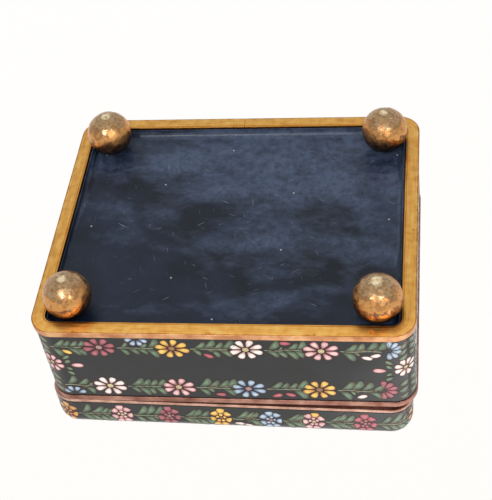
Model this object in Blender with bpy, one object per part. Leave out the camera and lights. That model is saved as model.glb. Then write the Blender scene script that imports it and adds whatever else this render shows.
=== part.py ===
"""Cloisonne enamel box with a lift-off lid, standing on four ball feet.

Metres, +Z up. The origin is on the ground under the middle of the box, the long sides run
along X, and the front is the long side that faces -Y.
"""

import math

import bmesh
import bpy

# Plan of the box, over the outer edge of the brass rim round its base
BOX_LENGTH = 0.1200
BOX_DEPTH = 0.0975
CORNER_RADIUS = 0.0075

# Brass rim soldered round the base, and the enamelled tray inside it
BASE_RIM_WIDTH = 0.0046
BASE_RIM_HEIGHT = 0.0023
BASE_RIM_EASED_EDGE = 0.0004
TRAY_DEPTH = 0.0006
TRAY_EDGE_WIDTH = 0.00035
TRAY_EDGE_DROP = 0.0005
TRAY_DISH = 0.0005
TRAY_DISH_INSET = 0.0220

# Enamelled copper body
WALL_HEIGHT = 0.0306
WALL_THICKNESS = 0.0020
WALL_SETBACK = 0.0005
WALL_FLARE = 0.0004
PLATE_THICKNESS = 0.0018
FLOOR_FILLET = 0.0020

# Copper rim of the body's mouth, with the lip that the lid drops over
MOUTH_RIM_HEIGHT = 0.0022
MOUTH_RIM_PROUD = 0.0003
MOUTH_SHELF_THICKNESS = 0.0010
LIP_HEIGHT = 0.0050
LIP_THICKNESS = 0.0010
LIP_CLEARANCE = 0.0004

# Lid: its copper mouth rim, its rolled shoulder, and the way it sits, a little askew
LID_HEIGHT = 0.0160
LID_WALL = 0.0018
LID_SHOULDER = 0.0060
LID_RIM_HEIGHT = 0.0012
LID_SHIFT = 0.0012
LID_LIFT = 0.0027

# Ball feet, each worn flat where it stands
FOOT_RADIUS = 0.0078
FOOT_WORN_RADIUS = 0.0021
FOOT_SEAT_DEPTH = 0.0003
FOOT_COLLAR_RADIUS = 0.0036
FOOT_CLEARANCE = 0.0006

# Solder joint left open between touching pieces
JOINT = 0.0003

# Smoothness of round forms
CORNER_STEPS = 8
FILLET_STEPS = 4
SHOULDER_STEPS = 6
FOOT_STEPS_ROUND = 28
FOOT_STEPS_UP = 14
SMALLEST_CORNER = 0.0004
SHARP_ANGLE = math.radians(32)

# Heights that follow from the sizes above
TRAY_RECESS = BASE_RIM_HEIGHT + JOINT + TRAY_DEPTH
TRAY_FILLET = TRAY_RECESS - TRAY_EDGE_DROP
FOOT_CENTRE_Z = math.sqrt(FOOT_RADIUS**2 - FOOT_WORN_RADIUS**2)
TRAY_Z = FOOT_CENTRE_Z + FOOT_RADIUS - FOOT_SEAT_DEPTH
BASE_FACE_Z = TRAY_Z - TRAY_RECESS
TRAY_EDGE_Z = BASE_FACE_Z + TRAY_EDGE_DROP
BODY_FOOT_Z = BASE_FACE_Z + BASE_RIM_HEIGHT + JOINT
FLOOR_Z = TRAY_Z + PLATE_THICKNESS
WALL_TOP_Z = BODY_FOOT_Z + WALL_HEIGHT
MOUTH_FOOT_Z = WALL_TOP_Z + JOINT
MOUTH_TOP_Z = MOUTH_FOOT_Z + MOUTH_RIM_HEIGHT

# Offsets from the plan's outline, outwards positive
WALL_FOOT_OFFSET = -WALL_SETBACK
WALL_TOP_OFFSET = WALL_FOOT_OFFSET + WALL_FLARE
MOUTH_OFFSET = WALL_TOP_OFFSET + MOUTH_RIM_PROUD
LID_OFFSET = WALL_TOP_OFFSET
LIP_OUTER_OFFSET = LID_OFFSET - LID_WALL - LID_SHIFT - LIP_CLEARANCE
LIP_INNER_OFFSET = LIP_OUTER_OFFSET - LIP_THICKNESS


def clear_scene():
    """Removes whatever the scene holds."""
    for thing in list(bpy.data.objects):
        bpy.data.objects.remove(thing, do_unlink=True)


def make_material(name, colour, roughness, metallic):
    """A plain Principled material."""
    material = bpy.data.materials.new(name)
    material.use_nodes = True
    shader = material.node_tree.nodes["Principled BSDF"]
    shader.inputs["Base Color"].default_value = (*colour, 1.0)
    shader.inputs["Roughness"].default_value = roughness
    shader.inputs["Metallic"].default_value = metallic
    return material


def rounded_rectangle(offset):
    """Points round the plan's outline moved outwards by offset, anticlockwise."""
    radius = max(CORNER_RADIUS + offset, SMALLEST_CORNER)
    reach_x = BOX_LENGTH / 2 + offset - radius
    reach_y = BOX_DEPTH / 2 + offset - radius
    corners = ((reach_x, reach_y), (-reach_x, reach_y), (-reach_x, -reach_y), (reach_x, -reach_y))
    points = []
    for quarter, (centre_x, centre_y) in enumerate(corners):
        for step in range(CORNER_STEPS + 1):
            angle = math.pi / 2 * (quarter + step / CORNER_STEPS)
            points.append((centre_x + radius * math.cos(angle), centre_y + radius * math.sin(angle)))
    return points


def add_ring(mesh, offset, height):
    """One rounded-rectangle ring of vertices."""
    return [mesh.verts.new((x, y, height)) for x, y in rounded_rectangle(offset)]


def skin_rings(mesh, lower, upper):
    """Quads between two rings."""
    count = len(lower)
    for index in range(count):
        following = (index + 1) % count
        mesh.faces.new((lower[index], lower[following], upper[following], upper[index]))


def link_object(name, mesh, material):
    """Turns a bmesh into a shaded object of the scene."""
    bmesh.ops.recalc_face_normals(mesh, faces=mesh.faces)
    data = bpy.data.meshes.new(name)
    mesh.to_mesh(data)
    mesh.free()
    data.materials.append(material)
    data.shade_smooth()
    data.set_sharp_from_angle(angle=SHARP_ANGLE)
    thing = bpy.data.objects.new(name, data)
    bpy.context.scene.collection.objects.link(thing)
    return thing


def build_shell(name, section, material):
    """A vessel: the section runs from the middle of one face to the middle of the other."""
    mesh = bmesh.new()
    rings = [add_ring(mesh, offset, height) for offset, height in section]
    for lower, upper in zip(rings, rings[1:]):
        skin_rings(mesh, lower, upper)
    mesh.faces.new(rings[0])
    mesh.faces.new(rings[-1])
    return link_object(name, mesh, material)


def build_frame(name, section, material):
    """A frame with a hole: the section is a closed outline carried round the plan."""
    mesh = bmesh.new()
    rings = [add_ring(mesh, offset, height) for offset, height in section]
    for lower, upper in zip(rings, rings[1:] + rings[:1]):
        skin_rings(mesh, lower, upper)
    return link_object(name, mesh, material)


def quarter_arc(centre_offset, centre_z, radius, start_degrees, steps):
    """Section points on a quarter circle, anticlockwise from start_degrees."""
    points = []
    for step in range(steps + 1):
        angle = math.radians(start_degrees + 90 * step / steps)
        points.append((centre_offset + radius * math.cos(angle), centre_z + radius * math.sin(angle)))
    return points


def build_body(material):
    """Copper body, enamelled in and out: walls, and a base plate dished into a shallow tray.

    The enamel of the tray runs up inside the brass rim, nearly to its face.
    """
    tray_edge = -BASE_RIM_WIDTH - JOINT
    fillet_edge = tray_edge - TRAY_EDGE_WIDTH
    wall_inside = WALL_FOOT_OFFSET - WALL_THICKNESS
    tray_fillet = quarter_arc(fillet_edge - TRAY_FILLET, TRAY_EDGE_Z, TRAY_FILLET, 0, FILLET_STEPS)
    section = [(tray_edge - TRAY_DISH_INSET, TRAY_Z + TRAY_DISH)]
    section += reversed(tray_fillet)
    section += [
        (tray_edge, TRAY_EDGE_Z),
        (tray_edge, BODY_FOOT_Z),
        (WALL_FOOT_OFFSET, BODY_FOOT_Z),
        (WALL_TOP_OFFSET, WALL_TOP_Z),
        (WALL_TOP_OFFSET - WALL_THICKNESS, WALL_TOP_Z),
        (wall_inside, FLOOR_Z + FLOOR_FILLET),
        (wall_inside - FLOOR_FILLET * (1 - math.sqrt(0.5)), FLOOR_Z + FLOOR_FILLET * (1 - math.sqrt(0.5))),
        (wall_inside - FLOOR_FILLET, FLOOR_Z),
        (tray_edge - TRAY_DISH_INSET, FLOOR_Z + TRAY_DISH),
    ]
    return build_shell("box_body", section, material)


def build_base_rim(material):
    """Flat brass frame round the base, with an eased lower edge outside."""
    top = BASE_FACE_Z + BASE_RIM_HEIGHT
    section = [
        (-BASE_RIM_EASED_EDGE, BASE_FACE_Z),
        (0.0, BASE_FACE_Z + BASE_RIM_EASED_EDGE),
        (0.0, top),
        (-BASE_RIM_WIDTH, top),
        (-BASE_RIM_WIDTH, BASE_FACE_Z),
    ]
    return build_frame("base_rim", section, material)


def build_mouth_rim(material):
    """Copper band on top of the body's wall, with a shelf and an upright lip inside the lid."""
    wall_inside = WALL_TOP_OFFSET - WALL_THICKNESS
    shelf_z = MOUTH_TOP_Z - MOUTH_SHELF_THICKNESS
    lip_z = MOUTH_TOP_Z + LIP_HEIGHT
    section = [
        (MOUTH_OFFSET, MOUTH_FOOT_Z),
        (MOUTH_OFFSET, MOUTH_TOP_Z),
        (LIP_OUTER_OFFSET, MOUTH_TOP_Z),
        (LIP_OUTER_OFFSET, lip_z),
        (LIP_INNER_OFFSET, lip_z),
        (LIP_INNER_OFFSET, shelf_z),
        (wall_inside, shelf_z),
        (wall_inside, MOUTH_FOOT_Z),
    ]
    return build_frame("body_mouth_rim", section, material)


def build_lid(material):
    """Hollow lid with a rolled shoulder and a flat top, drawn with its mouth at height zero."""
    foot = LID_RIM_HEIGHT + JOINT
    inner_roll = max(LID_SHOULDER - LID_WALL, SMALLEST_CORNER)
    inside = LID_OFFSET - LID_WALL
    inside_top = LID_HEIGHT - LID_WALL
    outer_roll = quarter_arc(LID_OFFSET - LID_SHOULDER, LID_HEIGHT - LID_SHOULDER, LID_SHOULDER, 0, SHOULDER_STEPS)
    inner_arc = quarter_arc(inside - inner_roll, inside_top - inner_roll, inner_roll, 0, SHOULDER_STEPS)
    section = list(reversed(outer_roll)) + [(LID_OFFSET, foot), (inside, foot)] + inner_arc
    return build_shell("lid", section, material)


def build_lid_rim(material):
    """Copper band round the lid's mouth."""
    inside = LID_OFFSET - LID_WALL
    section = [
        (LID_OFFSET, 0.0),
        (LID_OFFSET, LID_RIM_HEIGHT),
        (inside, LID_RIM_HEIGHT),
        (inside, 0.0),
    ]
    return build_frame("lid_mouth_rim", section, material)


def seat_lid(pieces):
    """Sets the lid on the body: touching at the +X end, lifted a little at the -X end."""
    tilt = math.asin(LID_LIFT / BOX_LENGTH)
    half_reach = BOX_LENGTH / 2 + LID_OFFSET
    seat = bpy.data.objects.new("lid_seat", None)
    bpy.context.scene.collection.objects.link(seat)
    seat.location = (LID_SHIFT, 0.0, MOUTH_TOP_Z + JOINT + half_reach * math.sin(tilt))
    seat.rotation_euler = (0.0, tilt, 0.0)
    for piece in pieces:
        piece.parent = seat


def foot_profile():
    """Half outline of a ball foot from the ground up: worn flat, ball, solder collar."""
    collar_rise = math.sqrt(max(FOOT_RADIUS**2 - FOOT_COLLAR_RADIUS**2, 0.0))
    start = math.atan2(-FOOT_CENTRE_Z, FOOT_WORN_RADIUS)
    end = math.atan2(collar_rise, FOOT_COLLAR_RADIUS)
    points = [(0.0, 0.0)]
    for step in range(FOOT_STEPS_UP + 1):
        angle = start + (end - start) * step / FOOT_STEPS_UP
        points.append((FOOT_RADIUS * math.cos(angle), FOOT_CENTRE_Z + FOOT_RADIUS * math.sin(angle)))
    top = TRAY_Z - JOINT
    points.append((FOOT_COLLAR_RADIUS, top))
    points.append((0.0, top))
    return points


def build_foot(name, place, material):
    """One ball foot, turned from its half outline."""
    mesh = bmesh.new()
    verts = [mesh.verts.new((radius, 0.0, height)) for radius, height in foot_profile()]
    edges = [mesh.edges.new(pair) for pair in zip(verts, verts[1:])]
    bmesh.ops.spin(
        mesh,
        geom=verts + edges,
        cent=(0.0, 0.0, 0.0),
        axis=(0.0, 0.0, 1.0),
        angle=2 * math.pi,
        steps=FOOT_STEPS_ROUND,
    )
    bmesh.ops.remove_doubles(mesh, verts=mesh.verts, dist=0.000001)
    foot = link_object(name, mesh, material)
    foot.location = place
    return foot


def foot_reach(height):
    """Widest reach of a ball foot at a height or above it."""
    rise = max(height - FOOT_CENTRE_Z, 0.0)
    return math.sqrt(max(FOOT_RADIUS**2 - rise**2, FOOT_COLLAR_RADIUS**2))


def build_feet(material):
    """Four ball feet in the corners of the tray, clear of the brass rim and of the tray's raised edge."""
    clear_of_rim = FOOT_CLEARANCE + foot_reach(BASE_FACE_Z)
    clear_of_edge = JOINT + TRAY_EDGE_WIDTH + JOINT + foot_reach(TRAY_EDGE_Z)
    inset = BASE_RIM_WIDTH + max(clear_of_rim, clear_of_edge)
    reach_x = BOX_LENGTH / 2 - inset
    reach_y = BOX_DEPTH / 2 - inset
    for end, y in (("front", -reach_y), ("back", reach_y)):
        for side, x in (("left", -reach_x), ("right", reach_x)):
            build_foot(end + "_" + side + "_foot", (x, y, 0.0), material)


def build_box():
    """The whole box."""
    enamel = make_material("black_enamel", (0.012, 0.013, 0.018), 0.18, 0.0)
    brass = make_material("gilded_brass", (0.73, 0.40, 0.09), 0.34, 1.0)
    copper = make_material("bare_copper", (0.52, 0.25, 0.14), 0.38, 1.0)
    bronze = make_material("patinated_bronze", (0.30, 0.13, 0.04), 0.36, 1.0)
    build_body(enamel)
    build_base_rim(brass)
    build_feet(bronze)
    build_mouth_rim(copper)
    seat_lid([build_lid(enamel), build_lid_rim(copper)])


clear_scene()
build_box()
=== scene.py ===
"""Looks of the cloisonne enamel box: enamels, wires, metals, studio and camera round its CAD frame.

Metres, in the frame's own axes: +Z up, the front is the long side that faces -Y. The photograph
shows the box turned over on its lid, so the camera looks up at the base and is turned over too.
"""

import math
import random
from collections import namedtuple

import bpy
from mathutils import Euler, Matrix, Vector, noise


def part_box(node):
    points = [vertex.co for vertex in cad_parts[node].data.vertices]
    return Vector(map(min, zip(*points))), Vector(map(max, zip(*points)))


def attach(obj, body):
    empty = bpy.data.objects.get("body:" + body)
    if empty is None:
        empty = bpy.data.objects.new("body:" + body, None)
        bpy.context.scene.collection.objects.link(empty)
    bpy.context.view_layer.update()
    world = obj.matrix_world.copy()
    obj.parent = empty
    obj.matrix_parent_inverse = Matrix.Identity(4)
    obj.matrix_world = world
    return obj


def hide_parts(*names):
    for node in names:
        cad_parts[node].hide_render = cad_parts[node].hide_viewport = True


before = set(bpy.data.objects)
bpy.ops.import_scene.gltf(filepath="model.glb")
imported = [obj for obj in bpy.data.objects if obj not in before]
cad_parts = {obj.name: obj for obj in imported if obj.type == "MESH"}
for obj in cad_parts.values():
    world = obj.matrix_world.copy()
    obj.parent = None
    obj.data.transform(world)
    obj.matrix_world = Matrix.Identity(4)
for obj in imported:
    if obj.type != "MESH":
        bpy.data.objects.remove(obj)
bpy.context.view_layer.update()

MM = 0.001

# Places that the frame gives
RIM_LOW, RIM_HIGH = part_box("base_rim")
BODY_LOW, BODY_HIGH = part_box("box_body")
MOUTH_LOW, MOUTH_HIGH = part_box("body_mouth_rim")
FOOT_LOW, FOOT_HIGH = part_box("front_left_foot")
BOX_LENGTH = RIM_HIGH.x - RIM_LOW.x
BOX_DEPTH = RIM_HIGH.y - RIM_LOW.y
BASE_FACE_Z = RIM_LOW.z
BASE_RIM_TOP_Z = RIM_HIGH.z
TRAY_EDGE_Z = BODY_LOW.z
WALL_TOP_Z = BODY_HIGH.z
MOUTH_FOOT_Z = MOUTH_LOW.z
FOOT_RADIUS = (FOOT_HIGH.x - FOOT_LOW.x) / 2
FOOT_TOP_Z = FOOT_HIGH.z

# Sizes of the real box that its boxes alone don't give
CORNER_RADIUS = 7.5 * MM
BASE_RIM_WIDTH = 4.6 * MM
BASE_RIM_EASED_EDGE = 0.28 * MM
SEAM_SHIFT = 1.4 * MM
SEAM_GAP = 0.12 * MM
TRAY_EDGE_WIDTH = 0.35 * MM
TRAY_DISH = 0.5 * MM
TRAY_DISH_INSET = 22.0 * MM
WALL_THICKNESS = 2.0 * MM
WALL_FOOT_OFFSET = -0.5 * MM
WALL_TOP_OFFSET = -0.1 * MM
PLATE_THICKNESS = 1.8 * MM
FLOOR_FILLET = 2.0 * MM
LIP_HEIGHT = 5.0 * MM
LIP_THICKNESS = 1.0 * MM
MOUTH_OFFSET = 0.2 * MM
MOUTH_SHELF_THICKNESS = 1.0 * MM
LIP_OUTER_OFFSET = -3.5 * MM
COPPER_EASED_EDGE = 0.22 * MM
LID_HEIGHT = 16.0 * MM
LID_WALL = 1.8 * MM
LID_SHOULDER = 6.0 * MM
LID_RIM_HEIGHT = 1.2 * MM
LID_SHIFT = 1.2 * MM
LID_LIFT = 2.7 * MM
LID_OFFSET = WALL_TOP_OFFSET
FOOT_COLLAR_RADIUS = 3.6 * MM
FOOT_SEAT_DEPTH = 0.3 * MM
JOINT = 0.3 * MM

# Heights that follow from these
MOUTH_TOP_Z = MOUTH_HIGH.z - LIP_HEIGHT
TRAY_Z = FOOT_TOP_Z + JOINT
BODY_FOOT_Z = BASE_RIM_TOP_Z + JOINT
WALL_HEIGHT = WALL_TOP_Z - BODY_FOOT_Z
TRAY_FILLET = TRAY_Z - TRAY_EDGE_Z
FLOOR_Z = TRAY_Z + PLATE_THICKNESS
FOOT_CENTRE_Z = TRAY_Z + FOOT_SEAT_DEPTH - FOOT_RADIUS
LID_TILT = math.asin(LID_LIFT / BOX_LENGTH)
LID_SEAT_Z = MOUTH_TOP_Z + JOINT + (BOX_LENGTH / 2 + LID_OFFSET) * math.sin(LID_TILT)
LID_SEAT = Matrix.Translation((LID_SHIFT, 0.0, LID_SEAT_Z)) @ Matrix.Rotation(LID_TILT, 4, "Y")

# Plans, each a length, a depth and a corner radius
BOX_PLAN = (BOX_LENGTH, BOX_DEPTH, CORNER_RADIUS)
TOP_BORDER_INSET = 15.0 * MM
TOP_BORDER_PLAN = (BOX_LENGTH - 2 * TOP_BORDER_INSET, BOX_DEPTH - 2 * TOP_BORDER_INSET, 13.0 * MM)

# Fineness of the meshes
STATIONS = 480
SMALLEST_CORNER = 0.4 * MM
EASE_STEPS = 3
OUTLINE_STEPS = 14
LAST_RING_INSET = 2.0 * MM
SHARPEST_SMOOTH_EDGE = math.radians(40)

# Unevenness of the metal strips: how deep and how long their waves are
BRASS_WAVE = 0.06 * MM
COPPER_WAVE = 0.08 * MM
STRIP_WAVE_LENGTH = 5.5 * MM

# Inlay: the ground lies a hair inside the CAD face, so that petals and wires can stand up to it
GROUND_SINK = 0.09 * MM
GROUND_WAVE = 0.025 * MM
GROUND_WAVE_LENGTH = 11.0 * MM
TRAY_WAVE = 0.25 * MM
TRAY_WAVE_LENGTH = 17.0 * MM
CELL_ROOT = -0.03 * MM
CELL_LIFT = 0.035 * MM
WIRE_LIFT = 0.055 * MM
WIRE_WIDTH = 0.18 * MM


def hex_colour(code):
    """sRGB hex code as a linear colour."""
    channels = [int(code[index:index + 2], 16) / 255 for index in (1, 3, 5)]
    return tuple(c / 12.92 if c <= 0.04045 else ((c + 0.055) / 1.055) ** 2.4 for c in channels)


def mix(first, second, share):
    """A colour or point between two others."""
    return tuple(a + (b - a) * share for a, b in zip(first, second))


def plan_point(plan, quarter, on_corner, share, offset):
    """Point of a plan's outline moved outwards by offset, on a side or on the corner after it."""
    length, depth, corner_radius = plan
    radius = max(corner_radius + offset, SMALLEST_CORNER)
    reach_x = length / 2 + offset - radius
    reach_y = depth / 2 + offset - radius
    centres = ((-reach_x, -reach_y), (reach_x, -reach_y), (reach_x, reach_y), (-reach_x, reach_y))
    following = centres[(quarter + 1) % 4]
    turn = math.pi / 2 * (quarter - 1)
    centre = following
    if on_corner:
        turn += math.pi / 2 * share
    else:
        centre = mix(centres[quarter], following, share)
    return centre[0] + radius * math.cos(turn), centre[1] + radius * math.sin(turn)


def plan_perimeter(plan):
    """Length of a plan's outline."""
    length, depth, radius = plan
    return 2 * (length + depth) + (2 * math.pi - 8) * radius


def around(plan, place, offset):
    """Point at a distance round a plan, from the middle of the front towards +X."""
    length, depth, radius = plan
    arc = math.pi / 2 * radius
    rest = (place + length / 2 - radius) % plan_perimeter(plan)
    for quarter in range(4):
        side = (depth if quarter % 2 else length) - 2 * radius
        if rest <= side:
            return plan_point(plan, quarter, False, rest / side, offset)
        rest -= side
        if rest <= arc:
            return plan_point(plan, quarter, True, rest / arc, offset)
        rest -= arc
    return plan_point(plan, 3, True, 1.0, offset)


def ground_wave(x, y, z):
    """How far the stoned enamel dips at a place."""
    spot = Vector((x, y, z)) / GROUND_WAVE_LENGTH
    return GROUND_WAVE * (noise.noise(spot) - 1.0) / 2


def wall_offset(height):
    """Offset of the body's enamel ground at a height above its foot."""
    return WALL_FOOT_OFFSET + (WALL_TOP_OFFSET - WALL_FOOT_OFFSET) * height / WALL_HEIGHT - GROUND_SINK


def wall_point(place, height, lift):
    """Point on the body's wall, or lift above it."""
    x, y = around(BOX_PLAN, place, wall_offset(height))
    dip = ground_wave(x, y, height)
    x, y = around(BOX_PLAN, place, wall_offset(height) + dip + lift)
    return x, y, BODY_FOOT_Z + height


def lid_section(run):
    """Offset and height in the lid's own frame, and the way out, run metres up its skin from its mouth."""
    straight = LID_HEIGHT - LID_SHOULDER
    arc = math.pi / 2 * LID_SHOULDER
    angle = min(max(run - straight, 0.0) / LID_SHOULDER, math.pi / 2)
    out = (math.cos(angle), math.sin(angle))
    offset = LID_OFFSET - LID_SHOULDER * (1 - out[0]) - max(run - straight - arc, 0.0)
    height = min(run, straight) + LID_SHOULDER * out[1]
    return offset, height, out


def lid_side_point(place, run, lift):
    """Point on the lid's side and shoulder, or lift above them."""
    offset, height, out = lid_section(run)
    x, y = around(BOX_PLAN, place, offset)
    rise = lift - GROUND_SINK + ground_wave(x, y, height)
    x, y = around(BOX_PLAN, place, offset + rise * out[0])
    return tuple(LID_SEAT @ Vector((x, y, height + rise * out[1])))


def lid_top_point(x, y, lift):
    """Point on the lid's flat top, or lift above it."""
    rise = lift - GROUND_SINK + ground_wave(x, y, LID_HEIGHT)
    return tuple(LID_SEAT @ Vector((x, y, LID_HEIGHT + rise)))


def top_border_point(place, across, lift):
    """Point of the border on the lid's top: place round it, across outwards from its middle line."""
    x, y = around(TOP_BORDER_PLAN, place, across)
    return lid_top_point(x, y, lift)


def link_mesh(name, points, faces, materials, smooth=True):
    """A mesh object of the scene."""
    data = bpy.data.meshes.new(name)
    data.from_pydata(points, [], faces)
    data.update()
    for material in materials:
        data.materials.append(material)
    if smooth:
        data.shade_smooth()
        data.set_sharp_from_angle(angle=SHARPEST_SMOOTH_EDGE)
    thing = bpy.data.objects.new(name, data)
    bpy.context.scene.collection.objects.link(thing)
    return thing


def dress(piece, slot, *nodes):
    """Ties a piece to the box and hides the CAD nodes that it stands for; the finish that it is given is not
    used.
    """
    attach(piece, "root")
    if nodes:
        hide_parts(*nodes)
    return piece


def store_numbers(data, name, values):
    """One number for each point of a mesh, for its material to read."""
    attribute = data.attributes.new(name, "FLOAT", "POINT")
    attribute.data.foreach_set("value", values)


def eased(corners, size):
    """A closed section with its corners rounded off."""
    section = []
    for index, corner in enumerate(corners):
        before = corners[index - 1]
        after = corners[(index + 1) % len(corners)]
        start = mix(corner, before, size / math.dist(corner, before))
        end = mix(corner, after, size / math.dist(corner, after))
        for step in range(EASE_STEPS + 1):
            share = step / EASE_STEPS
            section.append(mix(mix(start, corner, share), mix(corner, end, share), share))
    return section


def section_points(section, places, seat, unevenness):
    """The points of a section carried round the box's plan, with a little unevenness in metres."""
    points = []
    for offset, height in section:
        for place in places:
            x, y = around(BOX_PLAN, place, offset)
            spot = Vector((x, y, height))
            dip = unevenness * (noise.noise(spot / STRIP_WAVE_LENGTH) - 1.0) / 2
            x, y = around(BOX_PLAN, place, offset + dip)
            points.append(tuple(seat @ Vector((x, y, height))))
    return points


def ring_places():
    """Places all round the plan."""
    perimeter = plan_perimeter(BOX_PLAN)
    return [perimeter * step / STATIONS for step in range(STATIONS)]


def skin_faces(rows, columns, rows_closed, columns_closed):
    """Quads over a grid of points."""
    faces = []
    for row in range(rows if rows_closed else rows - 1):
        low = row * columns
        high = (row + 1) % rows * columns
        for column in range(columns if columns_closed else columns - 1):
            following = (column + 1) % columns
            faces.append((low + column, low + following, high + following, high + column))
    return faces


def tray_offsets():
    """Offsets of the base plate's rings, from its middle to its edge."""
    outer = BASE_RIM_WIDTH + JOINT + TRAY_EDGE_WIDTH + TRAY_FILLET
    inner = BOX_DEPTH / 2 - LAST_RING_INSET
    steps = 22
    return [-(inner + (outer - inner) * step / steps) for step in range(steps + 1)]


def tray_height(offset):
    """Height of the base plate's underside: nearly flat, dished towards the middle."""
    inset = -offset - BASE_RIM_WIDTH - JOINT - TRAY_EDGE_WIDTH - TRAY_FILLET
    share = min(max(inset / (TRAY_DISH_INSET - TRAY_FILLET), 0.0), 1.0)
    return TRAY_Z + TRAY_DISH * share * share * (3 - 2 * share)


def tray_wave(x, y):
    """How far the base plate and its enamel are sprung out of flat at a place."""
    spot = Vector((x, y, 0.0)) / TRAY_WAVE_LENGTH
    return TRAY_WAVE * (noise.noise(spot) + 1.0) / 2


def body_section():
    """The body from the middle of its underside, up the wall and back to the middle of its floor."""
    section = [(offset, tray_height(offset)) for offset in tray_offsets()]
    edge = -BASE_RIM_WIDTH - JOINT
    tray_fillet_steps = 10
    for step in range(1, tray_fillet_steps + 1):
        angle = math.pi / 2 * step / tray_fillet_steps
        fall = TRAY_FILLET * (1 - math.cos(angle))
        section.append((edge - TRAY_EDGE_WIDTH - TRAY_FILLET * (1 - math.sin(angle)), TRAY_Z - fall))
    section.append((edge, TRAY_EDGE_Z))
    section.append((edge, BODY_FOOT_Z))
    tray_rings = len(section)
    wall_steps = 26
    for step in range(wall_steps + 1):
        height = WALL_HEIGHT * step / wall_steps
        section.append((wall_offset(height), BODY_FOOT_Z + height))
    wall_rings = len(section)
    inside = WALL_FOOT_OFFSET - WALL_THICKNESS
    section.append((WALL_TOP_OFFSET - WALL_THICKNESS, WALL_TOP_Z))
    floor_fillet_steps = 5
    for step in range(floor_fillet_steps + 1):
        angle = math.pi / 2 * step / floor_fillet_steps
        drop = FLOOR_FILLET * (1 - math.sin(angle))
        section.append((inside - FLOOR_FILLET * (1 - math.cos(angle)), FLOOR_Z + drop))
    flat_from = inside - FLOOR_FILLET - 1.0 * MM
    for offset in reversed(tray_offsets()):
        if offset < flat_from:
            section.append((offset, tray_height(offset) + PLATE_THICKNESS))
    return section, tray_rings, wall_rings


def build_body(enamel, counter_enamel):
    """The enamelled body: black wall outside, plain counter-enamel on its base and inside."""
    section, tray_rings, wall_rings = body_section()
    places = ring_places()
    points = []
    for row, (offset, height) in enumerate(section):
        for place in places:
            if tray_rings <= row < wall_rings:
                points.append(wall_point(place, height - BODY_FOOT_Z, 0.0))
            else:
                x, y = around(BOX_PLAN, place, offset)
                points.append((x, y, height + tray_wave(x, y)))
    faces = skin_faces(len(section), STATIONS, False, True)
    faces.append(tuple(range(STATIONS)))
    faces.append(tuple(range(len(points) - 1, len(points) - 1 - STATIONS, -1)))
    piece = link_mesh("enamelled_body", points, faces, [enamel, counter_enamel])
    for polygon in piece.data.polygons:
        row = polygon.vertices[0] // STATIONS
        polygon.material_index = 0 if tray_rings - 1 <= row < wall_rings else 1
    piece.data.flip_normals()
    return dress(piece, "black_enamel", "box_body")


def build_lid(enamel, counter_enamel):
    """The enamelled lid, hollow, with its rolled shoulder."""
    foot = LID_RIM_HEIGHT + JOINT
    straight = LID_HEIGHT - LID_SHOULDER
    shoulder_run = straight + math.pi / 2 * LID_SHOULDER
    side_steps = 10
    shoulder_steps = 12
    runs = [foot + (straight - foot) * step / side_steps for step in range(side_steps)]
    roll = shoulder_run - straight
    runs += [straight + roll * step / shoulder_steps for step in range(shoulder_steps + 1)]
    top_reach = BOX_DEPTH / 2 + LID_OFFSET - LID_SHOULDER - LAST_RING_INSET
    top_steps = 18
    runs += [shoulder_run + top_reach * (step + 1) / top_steps for step in range(top_steps)]
    places = ring_places()
    points = [lid_side_point(place, run, 0.0) for run in reversed(runs) for place in places]
    outer_rings = len(runs)
    inner_roll = LID_SHOULDER - LID_WALL
    inside_top = LID_HEIGHT - LID_WALL
    inner = [(LID_OFFSET - LID_WALL, foot)]
    for step in range(shoulder_steps + 1):
        angle = math.pi / 2 * step / shoulder_steps
        offset = LID_OFFSET - LID_WALL - inner_roll * (1 - math.cos(angle))
        inner.append((offset, inside_top - inner_roll * (1 - math.sin(angle))))
    inner.append((LID_OFFSET - LID_WALL - inner_roll - top_reach, inside_top))
    points += section_points(inner, places, LID_SEAT, 0.0)
    faces = skin_faces(outer_rings + len(inner), STATIONS, False, True)
    faces.append(tuple(range(STATIONS)))
    faces.append(tuple(range(len(points) - 1, len(points) - 1 - STATIONS, -1)))
    piece = link_mesh("enamelled_lid", points, faces, [enamel, counter_enamel])
    for polygon in piece.data.polygons:
        row = polygon.vertices[0] // STATIONS
        polygon.material_index = 0 if row < outer_rings else 1
    return dress(piece, "black_enamel", "lid")


def build_base_rim(brass, copper):
    """Flat brass strip round the base, its outer edge rubbed to copper, butted at a seam in the back."""
    first = plan_perimeter(BOX_PLAN) / 2 - SEAM_SHIFT + SEAM_GAP / 2
    span = plan_perimeter(BOX_PLAN) - SEAM_GAP
    places = [first + span * step / STATIONS for step in range(STATIONS + 1)]
    corners = [
        (0.0, BASE_FACE_Z),
        (0.0, BASE_RIM_TOP_Z),
        (-BASE_RIM_WIDTH, BASE_RIM_TOP_Z),
        (-BASE_RIM_WIDTH, BASE_FACE_Z),
    ]
    section = eased(corners, BASE_RIM_EASED_EDGE)
    points = section_points(section, places, Matrix.Identity(4), BRASS_WAVE)
    columns = len(places)
    faces = skin_faces(len(section), columns, True, False)
    faces.append(tuple(row * columns for row in range(len(section))))
    faces.append(tuple(row * columns + columns - 1 for row in reversed(range(len(section)))))
    piece = link_mesh("brass_base_rim", points, faces, [brass, copper])
    across = []
    along = []
    for offset, height in section:
        across += [(height - BASE_FACE_Z - offset) / MM] * columns
        along += [place / MM for place in places]
    store_numbers(piece.data, "across", across)
    store_numbers(piece.data, "along", along)
    last_outer_row = 2 * EASE_STEPS
    for polygon in piece.data.polygons:
        row = polygon.vertices[0] // columns
        polygon.material_index = 1 if 1 <= row <= last_outer_row else 0
    return dress(piece, "gilded_brass", "base_rim")


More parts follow.
